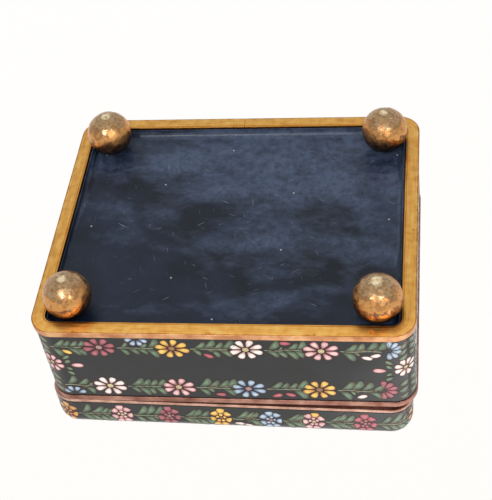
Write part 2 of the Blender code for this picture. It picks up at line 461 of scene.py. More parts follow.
def build_copper_frame(name, node, corners, seat, copper):
    """A copper band round the box, its edges rubbed round by handling."""
    section = eased(corners, COPPER_EASED_EDGE)
    points = section_points(section, ring_places(), seat, COPPER_WAVE)
    faces = skin_faces(len(section), STATIONS, True, True)
    piece = link_mesh(name, points, faces, [copper])
    return dress(piece, "bare_copper", node)


def build_mouth_rims(copper, light_copper):
    """The copper band with the lid's seat and lip on the body's mouth, and the lid's own band."""
    wall_inside = WALL_TOP_OFFSET - WALL_THICKNESS
    shelf_z = MOUTH_TOP_Z - MOUTH_SHELF_THICKNESS
    lip_z = MOUTH_TOP_Z + LIP_HEIGHT
    lip_inner = LIP_OUTER_OFFSET - LIP_THICKNESS
    body_corners = [
        (MOUTH_OFFSET, MOUTH_FOOT_Z),
        (MOUTH_OFFSET, MOUTH_TOP_Z),
        (LIP_OUTER_OFFSET, MOUTH_TOP_Z),
        (LIP_OUTER_OFFSET, lip_z),
        (lip_inner, lip_z),
        (lip_inner, shelf_z),
        (wall_inside, shelf_z),
        (wall_inside, MOUTH_FOOT_Z),
    ]
    build_copper_frame("copper_mouth_rim", "body_mouth_rim", body_corners, Matrix.Identity(4), copper)
    inside = LID_OFFSET - LID_WALL
    lid_corners = [
        (LID_OFFSET, 0.0),
        (LID_OFFSET, LID_RIM_HEIGHT),
        (inside, LID_RIM_HEIGHT),
        (inside, 0.0),
    ]
    build_copper_frame("copper_lid_rim", "lid_mouth_rim", lid_corners, LID_SEAT, light_copper)


# Ball feet: the place and the width of each one's rubbed tip, and its pits
# Angles are in degrees, round the ball from +X and up it from its tip; a pit's radius and depth follow
# its place, in millimetres
Ball = namedtuple("Ball", "worn pits")
BALLS = {
    "front_left_foot": Ball((100, 4, 13), ((250, 30, 0.9, 0.12), (70, 22, 0.6, 0.10))),
    "front_right_foot": Ball((80, 3, 10), ((80, 14, 0.6, 0.2), (250, 20, 0.5, 0.2), (300, 9, 0.5, 0.2))),
    "back_left_foot": Ball((60, 3, 9), ((0, 0, 0.55, 0.45), (120, 24, 0.8, 0.3))),
    "back_right_foot": Ball((90, 4, 12), ((310, 38, 0.9, 0.45),)),
}
BALL_TURNS = 96
BALL_ROWS = 72

# Shallow dents: their depth, and how many there are on a radius
DENT_DEPTH = 0.12 * MM
DENT_FREQUENCY = 2.3

# Facets of the hammer: their size, their depth, and where they end, as a share of their size
HAMMERED_FACET = 2.4 * MM
HAMMERED_DEPTH = 0.09 * MM
HAMMERED_END = 0.62

# Rubbed tip: the degrees over which it fades out, and how far and how often its edge wanders
WORN_FADE = 4.0
WORN_WANDER = 5.0
WORN_WANDER_FREQUENCY = 6.0

# How much of a dent is left in the worn flat that the ball stands on
FLAT_DENT_SHARE = 0.5


def hammered(way, centre):
    """How deep the hammer has flattened a ball at a place: little facets that meet in soft ridges."""
    distances, _ = noise.voronoi(way * FOOT_RADIUS / HAMMERED_FACET + centre / MM)
    share = min(distances[0] / HAMMERED_END, 1.0)
    return HAMMERED_DEPTH * (1 - share * share)


def ball_direction(round_degrees, up_degrees):
    """Direction from a ball's middle to a place on it."""
    turn = math.radians(round_degrees)
    up = math.radians(up_degrees)
    return Vector((math.sin(up) * math.cos(turn), math.sin(up) * math.sin(turn), -math.cos(up)))


def ball_dent(way, centre, pits):
    """How far a ball's skin lies off its true round in one direction: inwards, so below zero."""
    dent = DENT_DEPTH * (noise.noise(way * DENT_FREQUENCY + centre / MM) - 1.0) / 2
    dent -= hammered(way, centre)
    for pit_round, pit_up, pit_radius, pit_depth in pits:
        distance = (way - ball_direction(pit_round, pit_up)).length * FOOT_RADIUS / MM / pit_radius
        dent -= pit_depth * MM * max(1 - distance * distance, 0.0)
    return dent


def ball_wear(way, centre, worn):
    """How bare a ball is rubbed in one direction, from 0 to 1."""
    worn_round, worn_up, worn_width = worn
    away = math.degrees(way.angle(ball_direction(worn_round, worn_up)))
    away += WORN_WANDER * noise.noise(way * WORN_WANDER_FREQUENCY + centre / MM)
    return min(max((worn_width + WORN_FADE / 2 - away) / WORN_FADE, 0.0), 1.0)


def build_ball(name, bronze):
    """One ball foot: dented, pitted, rubbed bright where it stands, with its solder collar."""
    low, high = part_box(name)
    centre = Vector(((low.x + high.x) / 2, (low.y + high.y) / 2, FOOT_CENTRE_Z))
    marks = BALLS[name]
    collar_angle = 180 - math.degrees(math.asin(FOOT_COLLAR_RADIUS / FOOT_RADIUS))
    points = [(centre.x, centre.y, 0.0)]
    worn = [1.0]
    level = [0.0]
    for row in range(1, BALL_ROWS + 1):
        for turn in range(BALL_TURNS):
            way = ball_direction(360 * turn / BALL_TURNS, collar_angle * row / BALL_ROWS)
            dent = ball_dent(way, centre, marks.pits)
            spot = centre + way * (FOOT_RADIUS + dent)
            lowest = FLAT_DENT_SHARE * max(-dent, 0.0)
            points.append((spot.x, spot.y, max(spot.z, lowest)))
            worn.append(ball_wear(way, centre, marks.worn))
            level.append(row / BALL_ROWS)
    for turn in range(BALL_TURNS):
        angle = 2 * math.pi * turn / BALL_TURNS
        x = centre.x + FOOT_COLLAR_RADIUS * math.cos(angle)
        y = centre.y + FOOT_COLLAR_RADIUS * math.sin(angle)
        points.append((x, y, FOOT_TOP_Z))
        worn.append(0.0)
        level.append(1.0)
    faces = [(0, 1 + (turn + 1) % BALL_TURNS, 1 + turn) for turn in range(BALL_TURNS)]
    for face in skin_faces(BALL_ROWS + 1, BALL_TURNS, False, True):
        faces.append(tuple(1 + corner for corner in face))
    faces.append(tuple(range(len(points) - BALL_TURNS, len(points))))
    piece = link_mesh(name.replace("foot", "ball"), points, faces, [bronze])
    store_numbers(piece.data, "worn", worn)
    # level runs from the tip to the collar; the bronze's bands of painted reflection and shade follow it
    store_numbers(piece.data, "level", level)
    return dress(piece, "patinated_bronze", name)


# Enamel colours: at the edge and root of a cell, and in the middle and tip of it
ENAMELS = {
    "white": ("#C09488", "#FFF6EC"),
    "pink": ("#9E4A58", "#F6CCC4"),
    "rose": ("#6C2434", "#B4646C"),
    "red": ("#7C2838", "#C2626C"),
    "yellow": ("#A8641A", "#F8CE62"),
    "orange": ("#94521E", "#DDA256"),
    "blue": ("#24486A", "#BED0DC"),
    "leaf": ("#182A1C", "#758C6A"),
    "stem": ("#5E7256", "#98A688"),
    "pale_eye": ("#8A6844", "#EAD9A8"),
    "brown_eye": ("#5E2C22", "#B07850"),
    "rosy_eye": ("#5E3440", "#C49A94"),
}
# Eye of each flower
EYES = {
    "white": "pale_eye",
    "pink": "pale_eye",
    "rose": "rosy_eye",
    "red": "rosy_eye",
    "orange": "brown_eye",
    "yellow": "brown_eye",
    "blue": "rosy_eye",
}

# Most that a cell's colour drifts from its enamel's, at its edge, and twice that in its middle
COLOUR_DRIFT = 0.10

# Where a cell has risen to its full height, as a share of the way from its edge to its middle
CELL_SHOULDER = 0.36

# Section of a wire: across it as shares of its width, and above the ground
WIRE_SECTION = ((-0.5, CELL_ROOT), (-0.32, WIRE_LIFT), (0.32, WIRE_LIFT), (0.5, CELL_ROOT))


class Inlay:
    """Enamel cells and wires laid into one piece of the box."""

    def __init__(self, seed):
        self.chance = random.Random(seed)
        self.points = []
        self.faces = []
        self.colours = []
        self.wire_points = []
        self.wire_faces = []

    def cell(self, surface, outline, enamel, fade=0.0, spread=0.8):
        """One cell of enamel: its edge colour, its middle colour spread over it, and faded at its root."""
        edge, core = (hex_colour(code) for code in ENAMELS[enamel])
        drift = self.chance.uniform(-COLOUR_DRIFT, COLOUR_DRIFT)
        edge = mix(edge, core, max(drift, 0.0))
        core = mix(core, edge, 2 * max(-drift, 0.0))
        count = len(outline)
        middle = (sum(p[0] for p in outline) / count, sum(p[1] for p in outline) / count)
        first = len(self.points)
        rings = ((0.0, CELL_ROOT, 0.0), (0.0, 0.0, 0.0), (CELL_SHOULDER, CELL_LIFT, spread))
        for inwards, lift, share in rings:
            for index, corner in enumerate(outline):
                u, v = mix(corner, middle, inwards)
                self.points.append(surface(u, v, lift))
                along = (1 - math.cos(2 * math.pi * index / count)) / 2
                self.colours.append(mix(edge, core, share * (1 - fade * (1 - along))))
        self.points.append(surface(*middle, CELL_LIFT))
        self.colours.append(core)
        last = len(self.points) - 1
        inner = last - count
        self.faces.append(tuple(first + index for index in reversed(range(count))))
        for face in skin_faces(len(rings), count, False, True):
            self.faces.append(tuple(first + index for index in face))
        for index in range(count):
            self.faces.append((inner + index, inner + (index + 1) % count, last))
        self.wire(surface, outline, True)

    def petal(self, surface, root, tip, width, form, enamel, bend=0.0, limits=None):
        """A petal, a bud or a leaf of one form, from its root to its tip."""
        outline = leaf_outline(root, tip, width, form.fullness, form.sharpness, bend, limits)
        self.cell(surface, outline, enamel, form.fade, form.spread)

    def wire(self, surface, path, closed):
        """A flat wire bent on edge, rubbed level with the enamel."""
        count = len(path)
        first = len(self.wire_points)
        for index in range(count):
            before = path[index - 1] if closed or index else path[index]
            after = path[(index + 1) % count] if closed or index < count - 1 else path[index]
            length = math.dist(before, after) or 1.0
            side = ((before[1] - after[1]) / length, (after[0] - before[0]) / length)
            for reach, lift in WIRE_SECTION:
                u = path[index][0] + side[0] * reach * WIRE_WIDTH
                v = path[index][1] + side[1] * reach * WIRE_WIDTH
                self.wire_points.append(surface(u, v, lift))
        sides = len(WIRE_SECTION)
        for face in skin_faces(count, sides, closed, True):
            self.wire_faces.append(tuple(first + corner for corner in face))
        if not closed:
            last = first + (count - 1) * sides
            self.wire_faces.append(tuple(first + corner for corner in reversed(range(sides))))
            self.wire_faces.append(tuple(last + corner for corner in range(sides)))

    def finish(self, prefix, enamel, wire):
        """Turns the cells and the wires into two pieces of the scene."""
        cells = link_mesh(prefix + "_flower_enamels", self.points, self.faces, [enamel])
        attribute = cells.data.attributes.new("enamel_colour", "FLOAT_COLOR", "POINT")
        attribute.data.foreach_set("color", [value for colour in self.colours for value in (*colour, 1.0)])
        dress(cells, "black_enamel")
        wires = link_mesh(prefix + "_wires", self.wire_points, self.wire_faces, [wire])
        dress(wires, "gilded_brass")


def leaf_outline(root, tip, width, fullness, sharpness, bend, limits):
    """Outline of a petal or a leaf from its root round its tip and back, kept within limits of height."""
    length = math.dist(root, tip)
    along_u = (tip[0] - root[0]) / length
    along_v = (tip[1] - root[1]) / length
    outline = []
    for step in range(OUTLINE_STEPS):
        angle = 2 * math.pi * step / OUTLINE_STEPS
        along = (1 - math.cos(angle)) / 2
        swell = abs(math.sin(angle)) ** sharpness * math.copysign(1.0, math.sin(angle))
        across = width / 2 * swell * (1 + fullness * (2 * along - 1))
        across += bend * length * math.sin(math.pi * along)
        u = root[0] + along_u * along * length - along_v * across
        v = root[1] + along_v * along * length + along_u * across
        if limits:
            v = min(max(v, limits[0]), limits[1])
        outline.append((u, v))
    return outline


# Forms of cells: how much fuller towards the tip, how sharp at the ends, how dark at the root, and how
# much of the middle colour they show
Form = namedtuple("Form", "fullness sharpness fade spread")
DAISY_PETAL = Form(0.5, 0.8, 0.8, 0.8)
FAN_PETAL = Form(0.3, 0.85, 0.5, 0.8)
OUTER_PETAL = Form(0.3, 0.62, 0.6, 0.8)
INNER_PETAL = Form(0.2, 0.7, 0.6, 0.8)
BUD = Form(0.15, 1.0, 0.3, 0.8)
LEAF = Form(0.15, 1.15, 0.5, 0.45)
SHOOT = Form(0.1, 1.2, 0.4, 0.3)
CORNER_LEAF = Form(0.1, 1.0, 0.5, 0.45)
CORNER_SPRAY_LEAF = Form(0.1, 1.1, 0.6, 0.8)
LID_SPRAY_LEAF = Form(0.1, 1.25, 0.5, 0.8)

# Width and height of a flower as shares of its size
ROUND = (1.0, 1.0)

# Daisy: its eye and its petals' roots and tips as shares of its radius, how much of their ring its petals
# fill, and how far it may be turned
DAISY_PETALS = 8
DAISY_EYE = 0.20
DAISY_ROOT = 0.25
DAISY_TIPS = (0.93, 1.03)
DAISY_FILL = 0.55
DAISY_TURN = 0.15

# Eye: the corners of its outline, and the ring of wire in it as a share of its size
EYE_STEPS = 12
EYE_RING = 0.45

# Flower from the side: its petals' roots and width as shares of its radius
FAN_PETALS = 6
FAN_SPREAD = math.radians(207)
FAN_ROOT = 0.22
FAN_WIDTH = 0.40

# Rosette: rings of petals, their roots, tips and width as shares of its radius, its eye as another, how
# far a ring may be turned, and how much its petals differ in length
PetalRing = namedtuple("PetalRing", "petals root tip width form")
OUTER_RING = PetalRing(7, 0.42, 1.0, 0.53, OUTER_PETAL)
INNER_RING = PetalRing(5, 0.16, 0.46, 0.28, INNER_PETAL)
ROSETTE_EYE = 0.15
ROSETTE_TURN = 0.2
ROSETTE_TIPS = (0.94, 1.04)

# Bud: its length, and its width as a share of that
BUD_LENGTH = 3.6 * MM
BUD_SLIMNESS = 0.52

# Stem: its width, and the most that it bows
STEM_WIDTH = 0.42 * MM
STEM_BOW = 0.4 * MM
STEM_STEPS = 10


def flower_point(middle, angle, reach, shape=ROUND):
    """Point at an angle and a reach from a flower's middle."""
    return middle[0] + reach * shape[0] * math.cos(angle), middle[1] + reach * shape[1] * math.sin(angle)


def add_flower(inlay, surface, middle, radius, enamel, shape=ROUND, petals=DAISY_PETALS, limits=None):
    """A daisy with an eye in a ring of petals, cut off at the border's limits if need be."""
    turn = inlay.chance.uniform(-DAISY_TURN, DAISY_TURN)
    eye = radius * DAISY_EYE
    width = 2 * math.pi * radius * DAISY_FILL * shape[1] / petals
    for petal in range(petals):
        angle = turn + 2 * math.pi * (petal + 0.5) / petals
        root = flower_point(middle, angle, radius * DAISY_ROOT, shape)
        tip = flower_point(middle, angle, radius * inlay.chance.uniform(*DAISY_TIPS), shape)
        if limits and not limits[0] <= (root[1] + tip[1]) / 2 <= limits[1]:
            continue
        inlay.petal(surface, root, tip, width, DAISY_PETAL, enamel, 0.0, limits)
    if limits and not limits[0] + eye < middle[1] < limits[1] - eye:
        return
    add_eye(inlay, surface, middle, eye, EYES[enamel])


def add_eye(inlay, surface, middle, size, enamel):
    """The round eye of a flower, with a small ring of wire in it."""
    angles = [2 * math.pi * step / EYE_STEPS for step in range(EYE_STEPS)]
    inlay.cell(surface, [flower_point(middle, angle, size) for angle in angles], enamel)
    inlay.wire(surface, [flower_point(middle, angle, size * EYE_RING) for angle in angles], True)


def add_fan(inlay, surface, middle, radius, direction, enamel):
    """A flower seen from the side: petals over a little more than half a circle."""
    for petal in range(FAN_PETALS):
        angle = direction + FAN_SPREAD * ((petal + 0.5) / FAN_PETALS - 0.5)
        root = flower_point(middle, angle, radius * FAN_ROOT)
        tip = flower_point(middle, angle, radius)
        inlay.petal(surface, root, tip, radius * FAN_WIDTH, FAN_PETAL, enamel)


def add_petal_ring(inlay, surface, middle, radius, shape, ring, first_enamel, enamel):
    """A ring of a rosette's petals; the first, towards the mouth, has its own enamel."""
    turn = inlay.chance.uniform(-ROSETTE_TURN, ROSETTE_TURN) - math.pi / 2
    for petal in range(ring.petals):
        angle = turn + 2 * math.pi * petal / ring.petals
        reach = radius * ring.tip * inlay.chance.uniform(*ROSETTE_TIPS)
        root = flower_point(middle, angle, radius * ring.root, shape)
        tip = flower_point(middle, angle, reach, shape)
        inlay.petal(surface, root, tip, radius * ring.width, ring.form, enamel if petal else first_enamel)


def add_rosette(inlay, surface, middle, radius, name, shape):
    """A full flower of the lid: two rings of round petals. Its name is its enamel, or two of them."""
    enamel, _, odd_enamel = name.partition(" and ")
    add_petal_ring(inlay, surface, middle, radius, shape, OUTER_RING, odd_enamel or enamel, enamel)
    add_petal_ring(inlay, surface, middle, radius, shape, INNER_RING, enamel, enamel)
    add_eye(inlay, surface, middle, radius * ROSETTE_EYE, EYES[enamel])


def add_bud(inlay, surface, middle, direction, enamel, length=BUD_LENGTH):
    """A closed bud."""
    root = flower_point(middle, direction, -length / 2)
    tip = flower_point(middle, direction, length / 2)
    inlay.petal(surface, root, tip, length * BUD_SLIMNESS, BUD, enamel)


def add_stem(inlay, surface, start, end, bow):
    """A thin stem of pale enamel between two wires, bowed a little like an S."""
    middle = []
    for step in range(STEM_STEPS + 1):
        share = step / STEM_STEPS
        u, v = mix(start, end, share)
        middle.append((u, v + bow * math.sin(2 * math.pi * share)))
    upper = [(u, v + STEM_WIDTH / 2) for u, v in middle]
    lower = [(u, v - STEM_WIDTH / 2) for u, v in middle]
    first = len(inlay.points)
    edge, core = (hex_colour(code) for code in ENAMELS["stem"])
    rows = (
        (lower, CELL_ROOT, edge),
        (lower, CELL_LIFT, core),
        (upper, CELL_LIFT, core),
        (upper, CELL_ROOT, edge),
    )
    for path, lift, colour in rows:
        for u, v in path:
            inlay.points.append(surface(u, v, lift))
            inlay.colours.append(colour)
    columns = STEM_STEPS + 1
    for face in skin_faces(len(rows), columns, True, False):
        inlay.faces.append(tuple(first + index for index in face))
    row_starts = [first + row * columns for row in range(len(rows))]
    inlay.faces.append(tuple(row_starts))
    inlay.faces.append(tuple(row_start + STEM_STEPS for row_start in reversed(row_starts)))
    inlay.wire(surface, upper, False)
    inlay.wire(surface, lower, False)
    return middle


# Leaves: their length as a share of their border's width, how much they differ in that, and how they lean
# in degrees; how far a leaf is cut at a time to clear a flower, and the shortest that it may be; how far
# each bends, how far its root is from the stem's middle, and where the first one on each side grows, as
# a share of their spacing
LEAF_SHARE_OF_BAND = 0.56
LEAF_LENGTHS = (0.78, 1.08)
LEAF_LEANS = (38, 62)
SHORTER_LEAF = 0.9
SHORTEST_LEAF = 0.45
LEAF_BEND = 0.14
LEAF_ROOT = 0.3 * MM
FIRST_LEAF = {-1: 0.45, 1: 0.20}

# Shoots between them: how many gaps have one, and its start, reach, rise and width as shares of a leaf
SHOOT_CHANCE = 0.7
SHOOT_START = 0.30
SHOOT_REACH = 0.40
SHOOT_RISE = 0.20
SHOOT_WIDTH = 0.17

# Shortest stretch of stem that is drawn, and how far a flower lies off its border's middle
SHORTEST_SPRIG = 2.5 * MM
FLOWER_WANDER = 0.25 * MM

# Room that leaves leave round a flower, as a share of its size, and round a bud, along and across
FLOWER_ROOM = 1.03
BUD_ROOM = (2.2 * MM, 1.7 * MM)

# How a border is filled: the skin and the plan that it follows, what draws its flowers, their size and
# shape, and how close and slim its leaves are
Garland = namedtuple("Garland", "surface plan draw radius shape leaf_spacing slimness")
WALL_GARLAND = Garland(wall_point, BOX_PLAN, add_flower, 5.7 * MM, (1.0, 0.84), 2.9 * MM, 0.46)
LID_GARLAND = Garland(lid_side_point, BOX_PLAN, add_rosette, 5.1 * MM, (0.74, 1.06), 2.5 * MM, 0.40)
TOP_GARLAND = Garland(top_border_point, TOP_BORDER_PLAN, add_flower, 4.8 * MM, ROUND, 3.7 * MM, 0.44)


def clear_of(spot, keep_off):
    """Whether a spot is outside every oval that leaves keep off."""
    return all(math.hypot((spot[0] - u) / wide, (spot[1] - v) / high) > 1 for u, v, wide, high in keep_off)


def add_leaf(inlay, style, root, way, reach, bend, band, keep_off):
    """A leaf, drawn as long as the flowers beside it leave room for, or else left out."""
    shortest = reach * SHORTEST_LEAF
    while reach > shortest:
        tip = (root[0] + way[0] * reach, root[1] + way[1] * reach)
        if clear_of(tip, keep_off) and clear_of(mix(root, tip, 0.5), keep_off):
            inlay.petal(style.surface, root, tip, reach * style.slimness, LEAF, "leaf", bend, band)
            return
        reach *= SHORTER_LEAF


def add_shoot(inlay, style, root, side, length, keep_off):
    """A very small leaf close to the stem, between two others."""
    start = (root[0] - length * SHOOT_START, root[1])
    tip = (start[0] - length * SHOOT_REACH, start[1] + side * length * SHOOT_RISE)
    if clear_of(tip, keep_off):
        inlay.petal(style.surface, start, tip, length * SHOOT_WIDTH, SHOOT, "leaf")


def add_sprig(inlay, style, start, end, band, keep_off):
    """A stem towards -X with leaves on both sides that lean the way it grows."""
    stem = add_stem(inlay, style.surface, start, end, inlay.chance.uniform(-STEM_BOW, STEM_BOW))
    span = start[0] - end[0]
    length = (band[1] - band[0]) * LEAF_SHARE_OF_BAND
    leaves = max(1, round(span / style.leaf_spacing))
    for side in (-1, 1):
        for leaf in range(leaves):
            share = (leaf + FIRST_LEAF[side]) / leaves
            stem_height = stem[round(share * STEM_STEPS)][1]
            root = (start[0] - span * share, stem_height + side * LEAF_ROOT)
            reach = length * inlay.chance.uniform(*LEAF_LENGTHS)
            lean = math.radians(inlay.chance.uniform(*LEAF_LEANS))
            way = (-math.cos(lean), side * math.sin(lean))
            add_leaf(inlay, style, root, way, reach, side * LEAF_BEND, band, keep_off)
            if leaf and inlay.chance.random() < SHOOT_CHANCE:
                add_shoot(inlay, style, root, side, reach, keep_off)


def add_garland(inlay, style, flowers, middle, band, ends, buds=(), half_flowers=()):
    """Flowers in a row towards -X, joined by leafy sprigs that run on to the row's two ends.

    A flower is its place round the box and its enamel, a bud its place, height, direction in degrees
    and enamel, and a half flower its place, height, radius and enamel.
    """
    half_size = [style.radius * share * FLOWER_ROOM for share in style.shape]
    once_round = plan_perimeter(style.plan)
    keep_off = [(place - turn, middle, *half_size) for place, _ in flowers for turn in (0.0, once_round)]
    keep_off += [(place, height, *BUD_ROOM) for place, height, _, _ in buds]
    keep_off += [(place, height, radius, radius) for place, height, radius, _ in half_flowers]
    for place, enamel in flowers:
        height = middle + inlay.chance.uniform(-FLOWER_WANDER, FLOWER_WANDER)
        style.draw(inlay, style.surface, (place, height), style.radius, enamel, style.shape)
    starts = [ends[0]] + [place - half_size[0] for place, _ in flowers]
    stops = [place + half_size[0] for place, _ in flowers] + [ends[1]]
    for start, stop in zip(starts, stops):
        if start - stop > SHORTEST_SPRIG:
            add_sprig(inlay, style, (start, middle), (stop, middle), band, keep_off)
    for place, height, direction, enamel in buds:
        add_bud(inlay, style.surface, (place, height), math.radians(direction), enamel)
    for place, height, radius, enamel in half_flowers:
        add_flower(inlay, style.surface, (place, height), radius, enamel, limits=band)


# Borders on the body's wall: heights above its foot
FOOT_BORDER = (0.3 * MM, 10.1 * MM)
MOUTH_BORDER = (19.7 * MM, 30.3 * MM)
FOOT_BORDER_MIDDLE = 5.2 * MM
MOUTH_BORDER_MIDDLE = 25.3 * MM
PANEL_MIDDLE = 14.6 * MM

# Borders of the other walls: the distance between flowers and how far the row is shifted, the room at a
# corner, how many gaps have a bud, how far it is below the border's edge and its direction in degrees
WALL_SPACING = 23.0 * MM
ROW_SHIFT = 1.0 * MM
CORNER_ROOM = 4.5 * MM
BUD_CHANCE = 0.6
BUD_DROP = 1.9 * MM
BUD_DIRECTION = 165

# Spray on a corner: each of its leaves is its distance out, its rise and its length, and its tip's way
# out and up as shares of that
CORNER_FLOWER_RADIUS = 4.3 * MM
CORNER_FLOWER_DROP = 0.6 * MM
CORNER_BUD_REACH = 8.6 * MM
CORNER_BUD_LENGTH = 4.3 * MM
CORNER_SPRAY_LEAVES = ((4.6 * MM, 1.0 * MM, 2.6 * MM), (4.3 * MM, 3.0 * MM, 3.4 * MM))
CORNER_SPRAY_LEAF_WAY = (0.75, 0.6)
CORNER_SPRAY_LEAF_WIDTH = 1.6 * MM

# Leaves up a corner: the heights between which they grow, and how many pairs there are; how far their
# roots are from the corner and one of a pair above the other; and their rises, reaches and widths
CORNER_LEAF_BANDS = ((0.9 * MM, 9.6 * MM), (19.4 * MM, 29.8 * MM))
CORNER_LEAF_PAIRS = 3
CORNER_LEAF_ROOT = 0.35 * MM
CORNER_LEAF_STAGGER = 0.7 * MM
CORNER_LEAF_RISES = (2.0 * MM, 3.2 * MM)
CORNER_LEAF_REACHES = (3.0 * MM, 3.8 * MM)
CORNER_LEAF_WIDTHS = (2.0 * MM, 2.6 * MM)
CORNER_LEAF_BEND = 0.12


def spaced(first, spacing, names):
    """Flowers at even spacing, going towards -X along the front."""
    return [(first - spacing * index, name) for index, name in enumerate(names)]


def add_corner_spray(inlay, corner, flower, bud):
    """Flower at mid height on a corner, with a bud on each side over the black panels, and leaves."""
    add_flower(inlay, wall_point, (corner, PANEL_MIDDLE - CORNER_FLOWER_DROP), CORNER_FLOWER_RADIUS, flower)
    way_out, way_up = CORNER_SPRAY_LEAF_WAY
    for side in (-1, 1):
        spot = (corner + side * CORNER_BUD_REACH, PANEL_MIDDLE)
        add_bud(inlay, wall_point, spot, 0.0 if side > 0 else math.pi, bud, CORNER_BUD_LENGTH)
        for up in (-1, 1):
            for out, rise, length in CORNER_SPRAY_LEAVES:
                root = (corner + side * out, PANEL_MIDDLE + up * rise)
                tip = (root[0] + side * way_out * length, root[1] + up * way_up * length)
                inlay.petal(wall_point, root, tip, CORNER_SPRAY_LEAF_WIDTH, CORNER_SPRAY_LEAF, "leaf")


def add_corner_leaves(inlay, corner):
    """Pairs of leaves up a corner, above and below its flower."""
    for low, high in CORNER_LEAF_BANDS:
        for pair in range(CORNER_LEAF_PAIRS):
            height = low + (high - low) * (pair + 0.1) / CORNER_LEAF_PAIRS
            for side in (-1, 1):
                stagger = CORNER_LEAF_STAGGER if side > 0 else 0.0
                root = (corner + side * CORNER_LEAF_ROOT, height + stagger)
                rise = inlay.chance.uniform(*CORNER_LEAF_RISES)
                reach = inlay.chance.uniform(*CORNER_LEAF_REACHES)
                width = inlay.chance.uniform(*CORNER_LEAF_WIDTHS)
                tip = (root[0] + side * reach, min(height + rise, high))
                inlay.petal(wall_point, root, tip, width, CORNER_LEAF, "leaf", side * CORNER_LEAF_BEND)


def draw_front(inlay):
    """The front's two borders, as on the real box."""
    foot_flowers = spaced(38.4 * MM, 23.2 * MM, ("rose", "yellow", "white", "pink"))
    foot_buds = (
        (4.0 * MM, 8.5 * MM, 150, "red"),
        (-20.4 * MM, 1.7 * MM, 0, "red"),
        (-45.0 * MM, 8.4 * MM, 165, "white"),
        (-47.6 * MM, 7.2 * MM, 200, "white"),
        (49.3 * MM, 7.6 * MM, 150, "yellow"),
    )
    foot_half = ((25.9 * MM, 0.3 * MM, 3.9 * MM, "blue"),)
    foot_ends = (54.5 * MM, -49.5 * MM)
    add_garland(
        inlay, WALL_GARLAND, foot_flowers, FOOT_BORDER_MIDDLE, FOOT_BORDER, foot_ends, foot_buds, foot_half
    )
    add_fan(inlay, wall_point, (-51.6 * MM, 4.4 * MM), 4.6 * MM, math.pi, "blue")
    mouth_flowers = spaced(38.7 * MM, 22.7 * MM, ("white", "pink", "blue", "yellow"))
    mouth_buds = (
        (2.6 * MM, 28.8 * MM, 175, "red"),
        (-15.8 * MM, 28.7 * MM, 200, "red"),
        (-20.0 * MM, 28.2 * MM, 160, "red"),
        (-42.8 * MM, 28.4 * MM, 200, "white"),
    )
    mouth_half = ((51.4 * MM, 29.9 * MM, 4.2 * MM, "blue"),)
    mouth_ends = (54.0 * MM, -47.5 * MM)
    add_garland(
        inlay, WALL_GARLAND, mouth_flowers, MOUTH_BORDER_MIDDLE, MOUTH_BORDER, mouth_ends, mouth_buds,
        mouth_half,
    )
    add_fan(inlay, wall_point, (-49.4 * MM, 24.6 * MM), 4.9 * MM, math.pi, "rose")


def draw_wall(inlay, middle_place, half_span, names_foot, names_mouth):
    """One of the other walls: two borders with the same flowers in another order."""
    reach = WALL_SPACING * (len(names_foot) - 1) / 2
    ends = (middle_place + half_span, middle_place - half_span)
    for names, middle, band in (
        (names_foot, FOOT_BORDER_MIDDLE, FOOT_BORDER),
        (names_mouth, MOUTH_BORDER_MIDDLE, MOUTH_BORDER),
    ):
        first = middle_place + reach + inlay.chance.uniform(-ROW_SHIFT, ROW_SHIFT)
        flowers = spaced(first, WALL_SPACING, names)
        buds = []
        for place, _ in flowers[:-1]:
            if inlay.chance.random() < BUD_CHANCE:
                bud = inlay.chance.choice(("red", "white", "yellow"))
                buds.append((place - WALL_SPACING / 2, band[1] - BUD_DROP, BUD_DIRECTION, bud))
        add_garland(inlay, WALL_GARLAND, flowers, middle, band, ends, buds)


def corner_places():
    """Places of the four corners' middles round the box, from the front's +X end."""
    length, depth, radius = BOX_PLAN
    arc = math.pi / 2 * radius
    half_front = length / 2 - radius
    side = depth - 2 * radius
    first = half_front + arc / 2
    second = first + arc + side
    return [first, second, -second, -first]


def draw_body(inlay):
    """All the flowers on the body's wall."""
    draw_front(inlay)
    corners = corner_places()
    right_middle = (corners[0] + corners[1]) / 2
    side_span = (corners[1] - corners[0]) / 2 - CORNER_ROOM
    back_span = corners[0] - CORNER_ROOM
    draw_wall(inlay, right_middle, side_span, ("pink", "white", "yellow"), ("yellow", "blue", "white"))
    draw_wall(inlay, -right_middle, side_span, ("yellow", "pink", "blue"), ("rose", "white", "yellow"))
    back_middle = plan_perimeter(BOX_PLAN) / 2
    back_foot = ("white", "blue", "pink", "yellow")
    back_mouth = ("yellow", "rose", "white", "blue")
    draw_wall(inlay, back_middle, back_span, back_foot, back_mouth)
    shifts = (-2.4 * MM, 0.0, 0.0, 1.2 * MM)
    sprays = (("pink", "pink"), ("blue", "red"), ("yellow", "white"), ("white", "pink"))
    for corner, shift, (flower, bud) in zip(corners, shifts, sprays):
        add_corner_spray(inlay, corner + shift, flower, bud)
        add_corner_leaves(inlay, corner)


# Band on the lid's side: distances up its skin from its mouth, and each front flower's shift in
# millimetres from even spacing
LID_BAND = (1.8 * MM, 13.2 * MM)
LID_BAND_MIDDLE = 7.8 * MM
LID_FLOWERS = ("orange", "pink", "rose", "yellow", "blue", "pink and yellow", "red")
LID_FLOWER_SHIFTS = (0.4, -1.6, -0.8, -1.3, -1.1, 1.7, 1.8)
LID_FIRST_FLOWER = 55.0 * MM
LID_SPACING = 16.7 * MM
LID_BUDS = ((-3.0 * MM, 10.6 * MM, 170, "white"), (-6.0 * MM, 11.6 * MM, 150, "white"))

# Border on the lid's top, across from its middle line
TOP_BAND = (-5.0 * MM, 5.0 * MM)
TOP_FLOWERS = ("white", "yellow", "pink", "blue", "rose")
TOP_FLOWER_COUNT = 14

